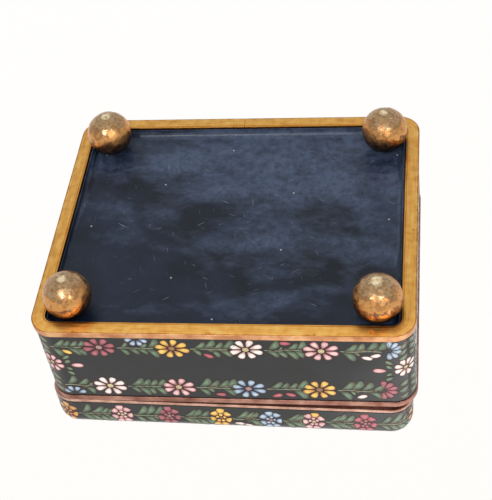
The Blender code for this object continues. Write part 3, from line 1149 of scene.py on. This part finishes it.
# Spray on the lid's top: a large flower in the middle, small ones round it, and leaves at a gap from a
# flower's middle, of a length, that fan out from it
SPRAY_FLOWER_RADIUS = 6.4 * MM
SPRAY_FLOWER_PETALS = 10
SMALL_FLOWERS = ("yellow", "blue", "pink", "rose")
SMALL_FLOWER_RADIUS = 4.2 * MM
SMALL_FLOWER_PLACE = (15.5 * MM, 9.5 * MM)
SMALL_FLOWER_LEAF_GAP = 4.6 * MM
SMALL_FLOWER_LEAF_LENGTH = 4.4 * MM
SMALL_FLOWER_LEAF_FAN = (-0.55, 0.0, 0.55)
SPRAY_LEAF_GAP = 6.9 * MM
SPRAY_LEAF_LENGTH = 4.6 * MM
SPRAY_LEAF_LEANS = (-0.42, 0.42)
SPRAY_LEAF_WIDTH = 1.8 * MM
SPRAY_LEAF_BEND = 0.08


def draw_lid(inlay):
    """The flowers on the lid: full ones along its side, a border and a spray on its top."""
    perimeter = plan_perimeter(BOX_PLAN)
    count = round(perimeter / LID_SPACING)
    names = [LID_FLOWERS[index % len(LID_FLOWERS)] for index in range(count)]
    flowers = spaced(LID_FIRST_FLOWER, perimeter / count, names)
    for index, shift in enumerate(LID_FLOWER_SHIFTS):
        flowers[index] = (flowers[index][0] + shift * MM, names[index])
    edge = LID_GARLAND.radius * LID_GARLAND.shape[0]
    ends = (flowers[0][0] + edge, flowers[0][0] + edge - perimeter)
    add_garland(inlay, LID_GARLAND, flowers, LID_BAND_MIDDLE, LID_BAND, ends, LID_BUDS)
    top_perimeter = plan_perimeter(TOP_BORDER_PLAN)
    top_names = [TOP_FLOWERS[index % len(TOP_FLOWERS)] for index in range(TOP_FLOWER_COUNT)]
    top_flowers = spaced(0.0, top_perimeter / TOP_FLOWER_COUNT, top_names)
    top_ends = (TOP_GARLAND.radius, TOP_GARLAND.radius - top_perimeter)
    add_garland(inlay, TOP_GARLAND, top_flowers, 0.0, TOP_BAND, top_ends)
    add_spray(inlay)


def add_spray_leaf(inlay, middle, way, gap, lean, length):
    """A leaf at a gap from a flower's middle on the lid's top, leaning off the way out from it."""
    root = flower_point(middle, way, gap)
    tip = flower_point(root, way + lean, length)
    inlay.petal(lid_top_point, root, tip, SPRAY_LEAF_WIDTH, LID_SPRAY_LEAF, "leaf", SPRAY_LEAF_BEND)


def add_spray(inlay):
    """A small spray in the middle of the lid's top: one large flower between four small ones."""
    middle = (0.0, 0.0)
    add_flower(inlay, lid_top_point, middle, SPRAY_FLOWER_RADIUS, "white", ROUND, SPRAY_FLOWER_PETALS)
    for turn, name in enumerate(SMALL_FLOWERS):
        angle = math.pi / 4 + math.pi / 2 * turn
        spot = flower_point(middle, angle, 1.0, SMALL_FLOWER_PLACE)
        add_flower(inlay, lid_top_point, spot, SMALL_FLOWER_RADIUS, name)
        outwards = math.atan2(spot[1], spot[0])
        for turned in SMALL_FLOWER_LEAF_FAN:
            way = outwards + turned
            add_spray_leaf(inlay, spot, way, SMALL_FLOWER_LEAF_GAP, 0.0, SMALL_FLOWER_LEAF_LENGTH)
    for quarter in range(4):
        for lean in SPRAY_LEAF_LEANS:
            add_spray_leaf(inlay, middle, math.pi / 2 * quarter, SPRAY_LEAF_GAP, lean, SPRAY_LEAF_LENGTH)


def new_material(name):
    """An empty node material with its shader and output."""
    material = bpy.data.materials.new(name)
    material.use_nodes = True
    tree = material.node_tree
    return material, tree, tree.nodes["Principled BSDF"]


def add_node(tree, kind, inputs, **settings):
    """Adds a node with its settings; an input is a value or the socket that feeds it."""
    node = tree.nodes.new(kind)
    for name, value in settings.items():
        setattr(node, name, value)
    for name, value in inputs.items():
        if isinstance(value, bpy.types.NodeSocket):
            tree.links.new(value, node.inputs[name])
        else:
            node.inputs[name].default_value = value
    return node


def set_stops(node, stops):
    """Sets a colour ramp's stops, each a position and a hex colour."""
    ramp = node.color_ramp
    while len(ramp.elements) < len(stops):
        ramp.elements.new(1.0)
    for element, (position, code) in zip(ramp.elements, stops):
        element.position = position
        element.color = (*hex_colour(code), 1.0)
    return node.outputs["Color"]


def millimetres(tree, per_millimetre=(1.0, 1.0, 1.0), turn=0.0):
    """Object coordinates in millimetres, turned, and times a pattern's number per millimetre each way."""
    coordinates = add_node(tree, "ShaderNodeTexCoord", {})
    scale = tuple(MM / number for number in per_millimetre)
    inputs = {"Vector": coordinates.outputs["Object"], "Scale": scale, "Rotation": (0.0, 0.0, turn)}
    return add_node(tree, "ShaderNodeMapping", inputs, vector_type="TEXTURE").outputs["Vector"]


def add_bump(tree, shader, height, depth):
    """Bump of a depth in metres on a shader."""
    bump = add_node(tree, "ShaderNodeBump", {"Height": height, "Distance": depth, "Strength": 1.0})
    tree.links.new(bump.outputs["Normal"], shader.inputs["Normal"])


def make_black_enamel():
    """Vitreous enamel, fired, stoned and polished: deep black with a wavy glassy face and a few pits."""
    material, tree, shader = new_material("black_vitreous_enamel_polished")
    spot = millimetres(tree)
    # The stone leaves waves about 7 mm long
    waves = add_node(tree, "ShaderNodeTexNoise", {"Vector": spot, "Scale": 1 / 7, "Detail": 3.0})
    ramp = add_node(tree, "ShaderNodeValToRGB", {"Fac": waves.outputs["Fac"]})
    colour = set_stops(ramp, ((0.3, "#060607"), (0.7, "#101012")))
    tree.links.new(colour, shader.inputs["Base Color"])
    rough = add_node(
        tree, "ShaderNodeMapRange", {"Value": waves.outputs["Fac"], "To Min": 0.10, "To Max": 0.22}
    )
    tree.links.new(rough.outputs["Result"], shader.inputs["Roughness"])
    shader.inputs["IOR"].default_value = 1.47
    # Burst bubbles 1.6 mm apart, drawn 0.3 mm wide, coarser than real ones, so that they show
    pits = add_node(tree, "ShaderNodeTexVoronoi", {"Vector": spot, "Scale": 1 / 1.6})
    pit = add_node(
        tree, "ShaderNodeMapRange", {"Value": pits.outputs["Distance"], "From Min": 0.0, "From Max": 0.09}
    )
    height = add_node(
        tree, "ShaderNodeMath", {0: waves.outputs["Fac"], 1: pit.outputs["Result"]}, operation="ADD"
    )
    add_bump(tree, shader, height.outputs["Value"], 0.02 * MM)
    return material


def make_counter_enamel():
    """Counter-enamel on the base plate: blue-black, wiped cloudy, finely scratched, with stray specks."""
    material, tree, shader = new_material("blue_black_counter_enamel_handled")
    spot = millimetres(tree)
    # Clouds in the fired enamel, about 27 mm across
    clouds = add_node(
        tree, "ShaderNodeTexNoise",
        {"Vector": spot, "Scale": 1 / 27, "Detail": 9.0, "Roughness": 0.62, "Distortion": 0.5},
    )
    ramp = add_node(tree, "ShaderNodeValToRGB", {"Fac": clouds.outputs["Fac"]})
    ground = set_stops(ramp, ((0.38, "#040810"), (0.50, "#0A111E"), (0.66, "#151E2E")))
    # Haze wiped on in smears of about 30 by 15 mm, and the plate paler towards the back corner at -X
    wiping = millimetres(tree, (1 / 30, 1 / 15, 1.0), 0.10)
    smear = add_node(
        tree, "ShaderNodeTexNoise", {"Vector": wiping, "Detail": 9.0, "Roughness": 0.64, "Scale": 1.0}
    )
    towards_back_corner = add_node(
        tree, "ShaderNodeVectorMath", {0: spot, 1: (-0.0014, 0.0034, 0.0)}, operation="DOT_PRODUCT"
    )
    wiped = add_node(
        tree, "ShaderNodeMath", {0: smear.outputs["Fac"], 1: towards_back_corner.outputs["Value"]},
        operation="ADD",
    )
    haze = add_node(
        tree, "ShaderNodeMapRange",
        {"Value": wiped.outputs["Value"], "From Min": 0.43, "From Max": 0.74, "To Min": 0.0, "To Max": 1.12},
    )
    # Dust in the haze, drawn in specks of 2.6 mm and less, coarser than real dust, so that it shows
    dust = add_node(
        tree, "ShaderNodeTexNoise", {"Vector": spot, "Scale": 1 / 2.6, "Detail": 6.0, "Roughness": 0.72}
    )
    dusty = add_node(
        tree, "ShaderNodeMapRange",
        {"Value": dust.outputs["Fac"], "From Min": 0.3, "From Max": 0.7, "To Min": 0.30, "To Max": 1.45},
    )
    film = add_node(
        tree, "ShaderNodeMath", {0: haze.outputs["Result"], 1: dusty.outputs["Result"]}, operation="MULTIPLY",
        use_clamp=True,
    )
    hazed = add_node(
        tree, "ShaderNodeMix",
        {0: film.outputs["Value"], 6: ground, 7: (*hex_colour("#424C60"), 1.0)}, data_type="RGBA",
    )
    colour = hazed.outputs[2]
    # Scratches about 6 mm long, drawn 0.4 mm wide, coarser than real ones, so that they show
    for turn, share in ((0.5, 0.50), (-0.6, 0.42), (1.3, 0.38)):
        scratching = millimetres(tree, (0.16, 2.6, 1.0), turn)
        scratch = add_node(
            tree, "ShaderNodeTexNoise", {"Vector": scratching, "Scale": 1.0, "Detail": 1.0}
        )
        line = add_node(
            tree, "ShaderNodeMapRange",
            {"Value": scratch.outputs["Fac"], "From Min": 0.765, "From Max": 0.82, "To Max": share},
        )
        scratched = add_node(
            tree, "ShaderNodeMix",
            {0: line.outputs["Result"], 6: colour, 7: (*hex_colour("#9AA0AA"), 1.0)}, data_type="RGBA",
        )
        colour = scratched.outputs[2]
    # Pale specks fired in, about 31 mm apart and 0.8 mm wide
    specks = add_node(
        tree, "ShaderNodeTexVoronoi", {"Vector": spot, "Scale": 1 / 31.0}, voronoi_dimensions="2D"
    )
    speck = add_node(
        tree, "ShaderNodeMapRange",
        {"Value": specks.outputs["Distance"], "From Min": 0.013, "From Max": 0.006, "To Max": 0.6},
    )
    specked = add_node(
        tree, "ShaderNodeMix",
        {0: speck.outputs["Result"], 6: colour, 7: (*hex_colour("#C4C6C8"), 1.0)}, data_type="RGBA",
    )
    tree.links.new(specked.outputs[2], shader.inputs["Base Color"])
    rough = add_node(
        tree, "ShaderNodeMapRange",
        {"Value": smear.outputs["Fac"], "From Min": 0.35, "From Max": 0.7, "To Min": 0.24, "To Max": 0.46},
    )
    tree.links.new(rough.outputs["Result"], shader.inputs["Roughness"])
    shader.inputs["IOR"].default_value = 1.46
    shader.inputs["Specular IOR Level"].default_value = 0.36
    add_bump(tree, shader, clouds.outputs["Fac"], 0.35 * MM)
    return material


def make_flower_enamel():
    """Opaque coloured enamels, fired in cells and stoned level: satin glass, finely mottled."""
    material, tree, shader = new_material("opaque_flower_enamels_stoned")
    spot = millimetres(tree)
    laid = add_node(tree, "ShaderNodeAttribute", {}, attribute_name="enamel_colour")
    # Grains of ground glass, drawn 0.8 mm coarse, coarser than real ones, so that they show
    mottle = add_node(tree, "ShaderNodeTexNoise", {"Vector": spot, "Scale": 1 / 0.8, "Detail": 4.0})
    value = add_node(
        tree, "ShaderNodeMapRange",
        {"Value": mottle.outputs["Fac"], "From Min": 0.3, "From Max": 0.7, "To Min": 0.82, "To Max": 1.12},
    )
    tinted = add_node(
        tree, "ShaderNodeHueSaturation", {"Color": laid.outputs["Color"], "Value": value.outputs["Result"]}
    )
    tree.links.new(tinted.outputs["Color"], shader.inputs["Base Color"])
    rough = add_node(
        tree, "ShaderNodeMapRange", {"Value": mottle.outputs["Fac"], "To Min": 0.14, "To Max": 0.30}
    )
    tree.links.new(rough.outputs["Result"], shader.inputs["Roughness"])
    shader.inputs["IOR"].default_value = 1.52
    add_bump(tree, shader, mottle.outputs["Fac"], 0.015 * MM)
    return material


def make_wire():
    """Flat copper wire, ground level with the enamel and gilded thinly: brown-gold lines."""
    material, tree, shader = new_material("cloison_wire_worn_gilt")
    # Gilding worn in patches of about 3 mm
    wear = add_node(tree, "ShaderNodeTexNoise", {"Vector": millimetres(tree), "Scale": 1 / 3, "Detail": 3.0})
    ramp = add_node(tree, "ShaderNodeValToRGB", {"Fac": wear.outputs["Fac"]})
    colour = set_stops(ramp, ((0.35, "#3A241C"), (0.6, "#654432"), (0.75, "#94724E")))
    tree.links.new(colour, shader.inputs["Base Color"])
    shader.inputs["Metallic"].default_value = 1.0
    shader.inputs["Roughness"].default_value = 0.38
    return material


def make_brass():
    """Brass strip, rolled, filed and thinly gilded: streaks along the strip, brown where it has worn."""
    material, tree, shader = new_material("gilded_brass_filed")
    across = add_node(tree, "ShaderNodeAttribute", {}, attribute_name="across")
    along = add_node(tree, "ShaderNodeAttribute", {}, attribute_name="along")
    strip = add_node(
        tree, "ShaderNodeCombineXYZ", {"X": along.outputs["Fac"], "Y": across.outputs["Fac"]}
    )
    # Filing grain 10 mm long, drawn 0.45 mm wide, coarser than the real one, so that it shows
    grain_way = add_node(
        tree, "ShaderNodeMapping", {"Vector": strip.outputs["Vector"], "Scale": (0.10, 2.2, 1.0)}
    )
    grain = add_node(
        tree, "ShaderNodeTexNoise", {"Vector": grain_way.outputs["Vector"], "Scale": 1.0, "Detail": 6.0}
    )
    # Wear in blotches of about 3 mm
    blotches = add_node(
        tree, "ShaderNodeTexNoise", {"Vector": strip.outputs["Vector"], "Scale": 1 / 3.0, "Detail": 6.0}
    )
    both = add_node(
        tree, "ShaderNodeMix", {0: 0.50, 2: blotches.outputs["Fac"], 3: grain.outputs["Fac"]},
        data_type="FLOAT",
    )
    ramp = add_node(tree, "ShaderNodeValToRGB", {"Fac": both.outputs[0]})
    stops = ((0.30, "#C88440"), (0.44, "#E8A64E"), (0.54, "#F8B85C"), (0.68, "#FFD080"))
    gilt = set_stops(ramp, stops)
    # Across the strip: brown at both edges, and a darker and a paler line just inside the inner one
    place = add_node(
        tree, "ShaderNodeMath", {0: across.outputs["Fac"], 1: BASE_RIM_WIDTH / MM}, operation="DIVIDE"
    )
    wander = add_node(
        tree, "ShaderNodeMapRange", {"Value": blotches.outputs["Fac"], "To Min": -0.05, "To Max": 0.05}
    )
    from_edge = add_node(
        tree, "ShaderNodeMath", {0: place.outputs["Value"], 1: wander.outputs["Result"]}, operation="ADD"
    )
    edge = add_node(tree, "ShaderNodeValToRGB", {"Fac": from_edge.outputs["Value"]})
    outer_edge = ((0.0, "#8A5240"), (0.045, "#94604A"), (0.11, "#FFFFFF"))
    inner_edge = ((0.80, "#FFFFFF"), (0.87, "#BE9470"), (0.93, "#FFF4DC"), (1.0, "#5E4030"))
    shade = set_stops(edge, outer_edge + inner_edge)
    edged = add_node(
        tree, "ShaderNodeMix", {0: 0.85, 6: gilt, 7: shade}, data_type="RGBA", blend_type="MULTIPLY"
    )
    # Brown pits about 23 mm apart and 1 mm wide
    pits = add_node(
        tree, "ShaderNodeTexVoronoi", {"Vector": strip.outputs["Vector"], "Scale": 1 / 23.0},
        voronoi_dimensions="2D",
    )
    pit = add_node(
        tree, "ShaderNodeMapRange",
        {"Value": pits.outputs["Distance"], "From Min": 0.022, "From Max": 0.010, "To Max": 0.5},
    )
    pitted = add_node(
        tree, "ShaderNodeMix",
        {0: pit.outputs["Result"], 6: edged.outputs[2], 7: (*hex_colour("#7A4A24"), 1.0)}, data_type="RGBA",
    )
    # Painted light: the front stretch of the strip is painted brighter than the rest, where light from the
    # front falls on it
    parts = add_node(tree, "ShaderNodeSeparateXYZ", {"Vector": millimetres(tree)})
    rubbed = add_node(
        tree, "ShaderNodeMapRange",
        {"Value": parts.outputs["Y"], "From Min": -46.0, "From Max": -38.0, "To Min": 1.12, "To Max": 0.92},
    )
    toned = add_node(
        tree, "ShaderNodeHueSaturation", {"Color": pitted.outputs[2], "Value": rubbed.outputs["Result"]}
    )
    tree.links.new(toned.outputs["Color"], shader.inputs["Base Color"])
    shader.inputs["Metallic"].default_value = 1.0
    rough = add_node(
        tree, "ShaderNodeMapRange",
        {"Value": grain.outputs["Fac"], "From Min": 0.3, "From Max": 0.7, "To Min": 0.26, "To Max": 0.46},
    )
    tree.links.new(rough.outputs["Result"], shader.inputs["Roughness"])
    add_bump(tree, shader, both.outputs[0], 0.05 * MM)
    return material


def make_copper(name, dark, middle, light):
    """Copper strip, drawn and handled: brown where it has tarnished, lighter where it is rubbed."""
    material, tree, shader = new_material(name)
    spot = millimetres(tree)
    # Tarnish in patches of about 5 mm
    tarnish = add_node(tree, "ShaderNodeTexNoise", {"Vector": spot, "Scale": 1 / 5, "Detail": 6.0})
    ramp = add_node(tree, "ShaderNodeValToRGB", {"Fac": tarnish.outputs["Fac"]})
    colour = set_stops(ramp, ((0.34, dark), (0.5, middle), (0.66, light)))
    tree.links.new(colour, shader.inputs["Base Color"])
    shader.inputs["Metallic"].default_value = 1.0
    # Scuffs, drawn 0.6 mm coarse, coarser than real ones, so that they show
    fine = add_node(tree, "ShaderNodeTexNoise", {"Vector": spot, "Scale": 1 / 0.6, "Detail": 3.0})
    rough = add_node(
        tree, "ShaderNodeMapRange", {"Value": fine.outputs["Fac"], "To Min": 0.30, "To Max": 0.52}
    )
    tree.links.new(rough.outputs["Result"], shader.inputs["Roughness"])
    add_bump(tree, shader, fine.outputs["Fac"], 0.02 * MM)
    return material


def make_bronze():
    """Turned bronze, lacquered by handling: copper-brown, dull tan and scratched towards the worn tip.

    Its bands from tip to root are painted reflection and shade.
    """
    material, tree, shader = new_material("patinated_bronze_turned")
    spot = millimetres(tree)
    # Patina in patches of about 1.8 mm, over bands of painted reflection and shade from the ball's pale tip
    # to its dark root at the box: the pale tip as the room reflected, the orange middle as the brass rim
    # reflected, the dark root as painted shade by the box
    patches = add_node(
        tree, "ShaderNodeTexNoise", {"Vector": spot, "Scale": 1 / 1.8, "Detail": 5.0, "Distortion": 0.25}
    )
    level = add_node(tree, "ShaderNodeAttribute", {}, attribute_name="level")
    shifted = add_node(
        tree, "ShaderNodeMapRange",
        {
            "Value": patches.outputs["Fac"],
            "From Min": 0.25, "From Max": 0.75, "To Min": -0.17, "To Max": 0.17,
        },
    )
    place = add_node(
        tree, "ShaderNodeMath", {0: level.outputs["Fac"], 1: shifted.outputs["Result"]}, operation="ADD"
    )
    ramp = add_node(tree, "ShaderNodeValToRGB", {"Fac": place.outputs["Value"]})
    tip = ((0.00, "#D4B288"), (0.10, "#9A7650"), (0.20, "#BE986C"), (0.30, "#9A6E46"))
    middle = ((0.42, "#CC9050"), (0.49, "#DA9C5C"), (0.58, "#94653F"))
    root = ((0.72, "#553827"), (0.92, "#20150E"))
    patina_with_painted_reflection_and_shade = set_stops(ramp, tip + middle + root)
    # Scratches about 3 mm long, drawn 0.3 mm wide, coarser than real ones, so that they show
    scratching = millimetres(tree, (0.35, 3.2, 1.2), 0.6)
    scratch = add_node(
        tree, "ShaderNodeTexNoise", {"Vector": scratching, "Scale": 1.0, "Detail": 3.0, "Distortion": 0.5}
    )
    line = add_node(
        tree, "ShaderNodeMapRange",
        {"Value": scratch.outputs["Fac"], "From Min": 0.60, "From Max": 0.68, "To Max": 0.5},
    )
    above = add_node(
        tree, "ShaderNodeMapRange",
        {"Value": level.outputs["Fac"], "From Min": 0.50, "From Max": 0.25, "To Max": 1.0},
    )
    near_tip = add_node(
        tree, "ShaderNodeMath", {0: line.outputs["Result"], 1: above.outputs["Result"]}, operation="MULTIPLY"
    )
    scratched = add_node(
        tree, "ShaderNodeMix",
        {0: near_tip.outputs["Value"], 6: patina_with_painted_reflection_and_shade, 7: (*hex_colour("#E0C8A0"), 1.0)}, data_type="RGBA",
    )
    bare_ramp = add_node(tree, "ShaderNodeValToRGB", {"Fac": patches.outputs["Fac"]})
    bare = set_stops(bare_ramp, ((0.36, "#D0AA7C"), (0.50, "#FADCA8"), (0.62, "#FFEEC4")))
    worn = add_node(tree, "ShaderNodeAttribute", {}, attribute_name="worn")
    mixed = add_node(
        tree, "ShaderNodeMix",
        {0: worn.outputs["Fac"], 6: scratched.outputs[2], 7: bare}, data_type="RGBA",
    )
    tree.links.new(mixed.outputs[2], shader.inputs["Base Color"])
    shader.inputs["Metallic"].default_value = 1.0
    rough = add_node(
        tree, "ShaderNodeMapRange",
        {"Value": patches.outputs["Fac"], "From Min": 0.35, "From Max": 0.65, "To Min": 0.26, "To Max": 0.44},
    )
    tree.links.new(rough.outputs["Result"], shader.inputs["Roughness"])
    shader.inputs["Coat Weight"].default_value = 0.15
    shader.inputs["Coat Roughness"].default_value = 0.12
    # Fine dents of about 1.1 mm
    grit = add_node(tree, "ShaderNodeTexNoise", {"Vector": spot, "Scale": 1 / 1.1, "Detail": 4.0})
    add_bump(tree, shader, grit.outputs["Fac"], 0.09 * MM)
    return material


def make_floor_paper():
    """Matt white paper, seen from above only, so that the base shows from below."""
    material, tree, shader = new_material("matt_white_paper")
    shader.inputs["Roughness"].default_value = 0.9
    # Fibre, drawn 1.5 mm coarse, coarser than real paper, so that it shows
    fibre = add_node(
        tree, "ShaderNodeTexNoise", {"Vector": millimetres(tree), "Scale": 1 / 1.5, "Detail": 4.0}
    )
    ramp = add_node(tree, "ShaderNodeValToRGB", {"Fac": fibre.outputs["Fac"]})
    colour = set_stops(ramp, ((0.3, "#EFEEEC"), (0.7, "#F3F2F0")))
    tree.links.new(colour, shader.inputs["Base Color"])
    side = add_node(tree, "ShaderNodeNewGeometry", {})
    clear = add_node(tree, "ShaderNodeBsdfTransparent", {})
    one_sided = add_node(
        tree, "ShaderNodeMixShader",
        {0: side.outputs["Backfacing"], 1: shader.outputs["BSDF"], 2: clear.outputs["BSDF"]},
    )
    tree.links.new(one_sided.outputs["Shader"], tree.nodes["Material Output"].inputs["Surface"])
    return material


FLOOR_REACH = 1.6


def build_floor():
    """Plain pale floor under the feet."""
    corners = [(x * FLOOR_REACH, y * FLOOR_REACH, 0.0) for x, y in ((-1, -1), (1, -1), (1, 1), (-1, 1))]
    floor = link_mesh("studio_floor", corners, [(0, 1, 2, 3)], [make_floor_paper()], False)
    floor.visible_shadow = False
    floor.visible_diffuse = False
    floor.visible_glossy = False
    floor.visible_transmission = False


def build_world():
    """White studio all round, a little cooler below, where the base reflects it."""
    world = bpy.data.worlds.new("white_studio")
    bpy.context.scene.world = world
    world.use_nodes = True
    tree = world.node_tree
    coordinates = add_node(tree, "ShaderNodeTexCoord", {})
    parts = add_node(tree, "ShaderNodeSeparateXYZ", {"Vector": coordinates.outputs["Generated"]})
    level = add_node(
        tree, "ShaderNodeMapRange", {"Value": parts.outputs["Z"], "From Min": -1.0, "From Max": 1.0}
    )
    ramp = add_node(tree, "ShaderNodeValToRGB", {"Fac": level.outputs["Result"]})
    below = ((0.0, "#EEF0F2"), (0.10, "#E4E9F0"), (0.17, "#D6E0EC"), (0.30, "#DCE6F2"))
    above = ((0.5, "#F4F6F8"), (0.68, "#FFFFFF"), (1.0, "#FFFDF9"))
    colour = set_stops(ramp, below + above)
    tree.links.new(colour, tree.nodes["Background"].inputs["Color"])
    tree.nodes["Background"].inputs["Strength"].default_value = 1.0


# Soft lights, each a place, a width and a power in watts, and where they point
SOFTBOXES = {
    "upper_softbox": ((-0.35, -0.45, 0.70), 0.75, 1.7),
    "lower_softbox_left": ((0.12, -0.42, -0.42), 0.07, 0.9),
    "lower_softbox_right": ((-0.26, -0.42, -0.38), 0.07, 0.9),
}
LIT_POINT = (0.0, 0.0, 0.03)


def add_softbox(name, place, size, power):
    """A square soft light that doesn't show in the picture itself."""
    data = bpy.data.lights.new(name, "AREA")
    data.size = size
    data.energy = power
    lamp = bpy.data.objects.new(name, data)
    lamp.location = place
    way = Vector(LIT_POINT) - Vector(place)
    lamp.rotation_euler = way.to_track_quat("-Z", "Y").to_euler()
    lamp.visible_camera = False
    bpy.context.scene.collection.objects.link(lamp)


def build_lights():
    """A soft light above for the standing box, and small ones below for the view of its base."""
    for name, (place, size, power) in SOFTBOXES.items():
        add_softbox(name, place, size, power)


# The photograph's camera, solved from the base rim's corners and the feet
CAMERA_PLACE = (-0.06479, -0.26555, -0.27059)
CAMERA_TURN = tuple(math.radians(degrees) for degrees in (42.04, 6.53, 6.10))
CAMERA_LENS = 85.9


def build_camera():
    """Camera at the photograph's view: turned over, looking up at the base."""
    data = bpy.data.cameras.new("photograph_camera")
    data.lens = CAMERA_LENS
    data.clip_start = 0.01
    camera = bpy.data.objects.new("photograph_camera", data)
    bpy.context.scene.collection.objects.link(camera)
    turned_over = Matrix.Rotation(math.pi, 4, "Y") @ Euler(CAMERA_TURN, "XYZ").to_matrix().to_4x4()
    camera.matrix_world = Matrix.Translation(CAMERA_PLACE) @ turned_over
    bpy.context.scene.camera = camera


def build_scene():
    """The whole picture."""
    bpy.context.scene.view_settings.view_transform = "Standard"
    build_camera()
    build_world()
    build_lights()
    build_floor()
    enamel = make_black_enamel()
    counter_enamel = make_counter_enamel()
    copper = make_copper("bare_copper_handled", "#835446", "#A07060", "#B88C7A")
    light_copper = make_copper("rubbed_copper_lid_edge", "#A27866", "#C79A86", "#DDB6A2")
    warm_copper = make_copper("rubbed_gilt_copper", "#B67A50", "#D2966A", "#E4B284")
    bronze = make_bronze()
    flower_enamel = make_flower_enamel()
    wire = make_wire()
    build_body(enamel, counter_enamel)
    build_lid(enamel, counter_enamel)
    build_base_rim(make_brass(), warm_copper)
    build_mouth_rims(copper, light_copper)
    for name in BALLS:
        build_ball(name, bronze)
    body_inlay = Inlay(7)
    draw_body(body_inlay)
    body_inlay.finish("body", flower_enamel, wire)
    lid_inlay = Inlay(11)
    draw_lid(lid_inlay)
    lid_inlay.finish("lid", flower_enamel, wire)


build_scene()
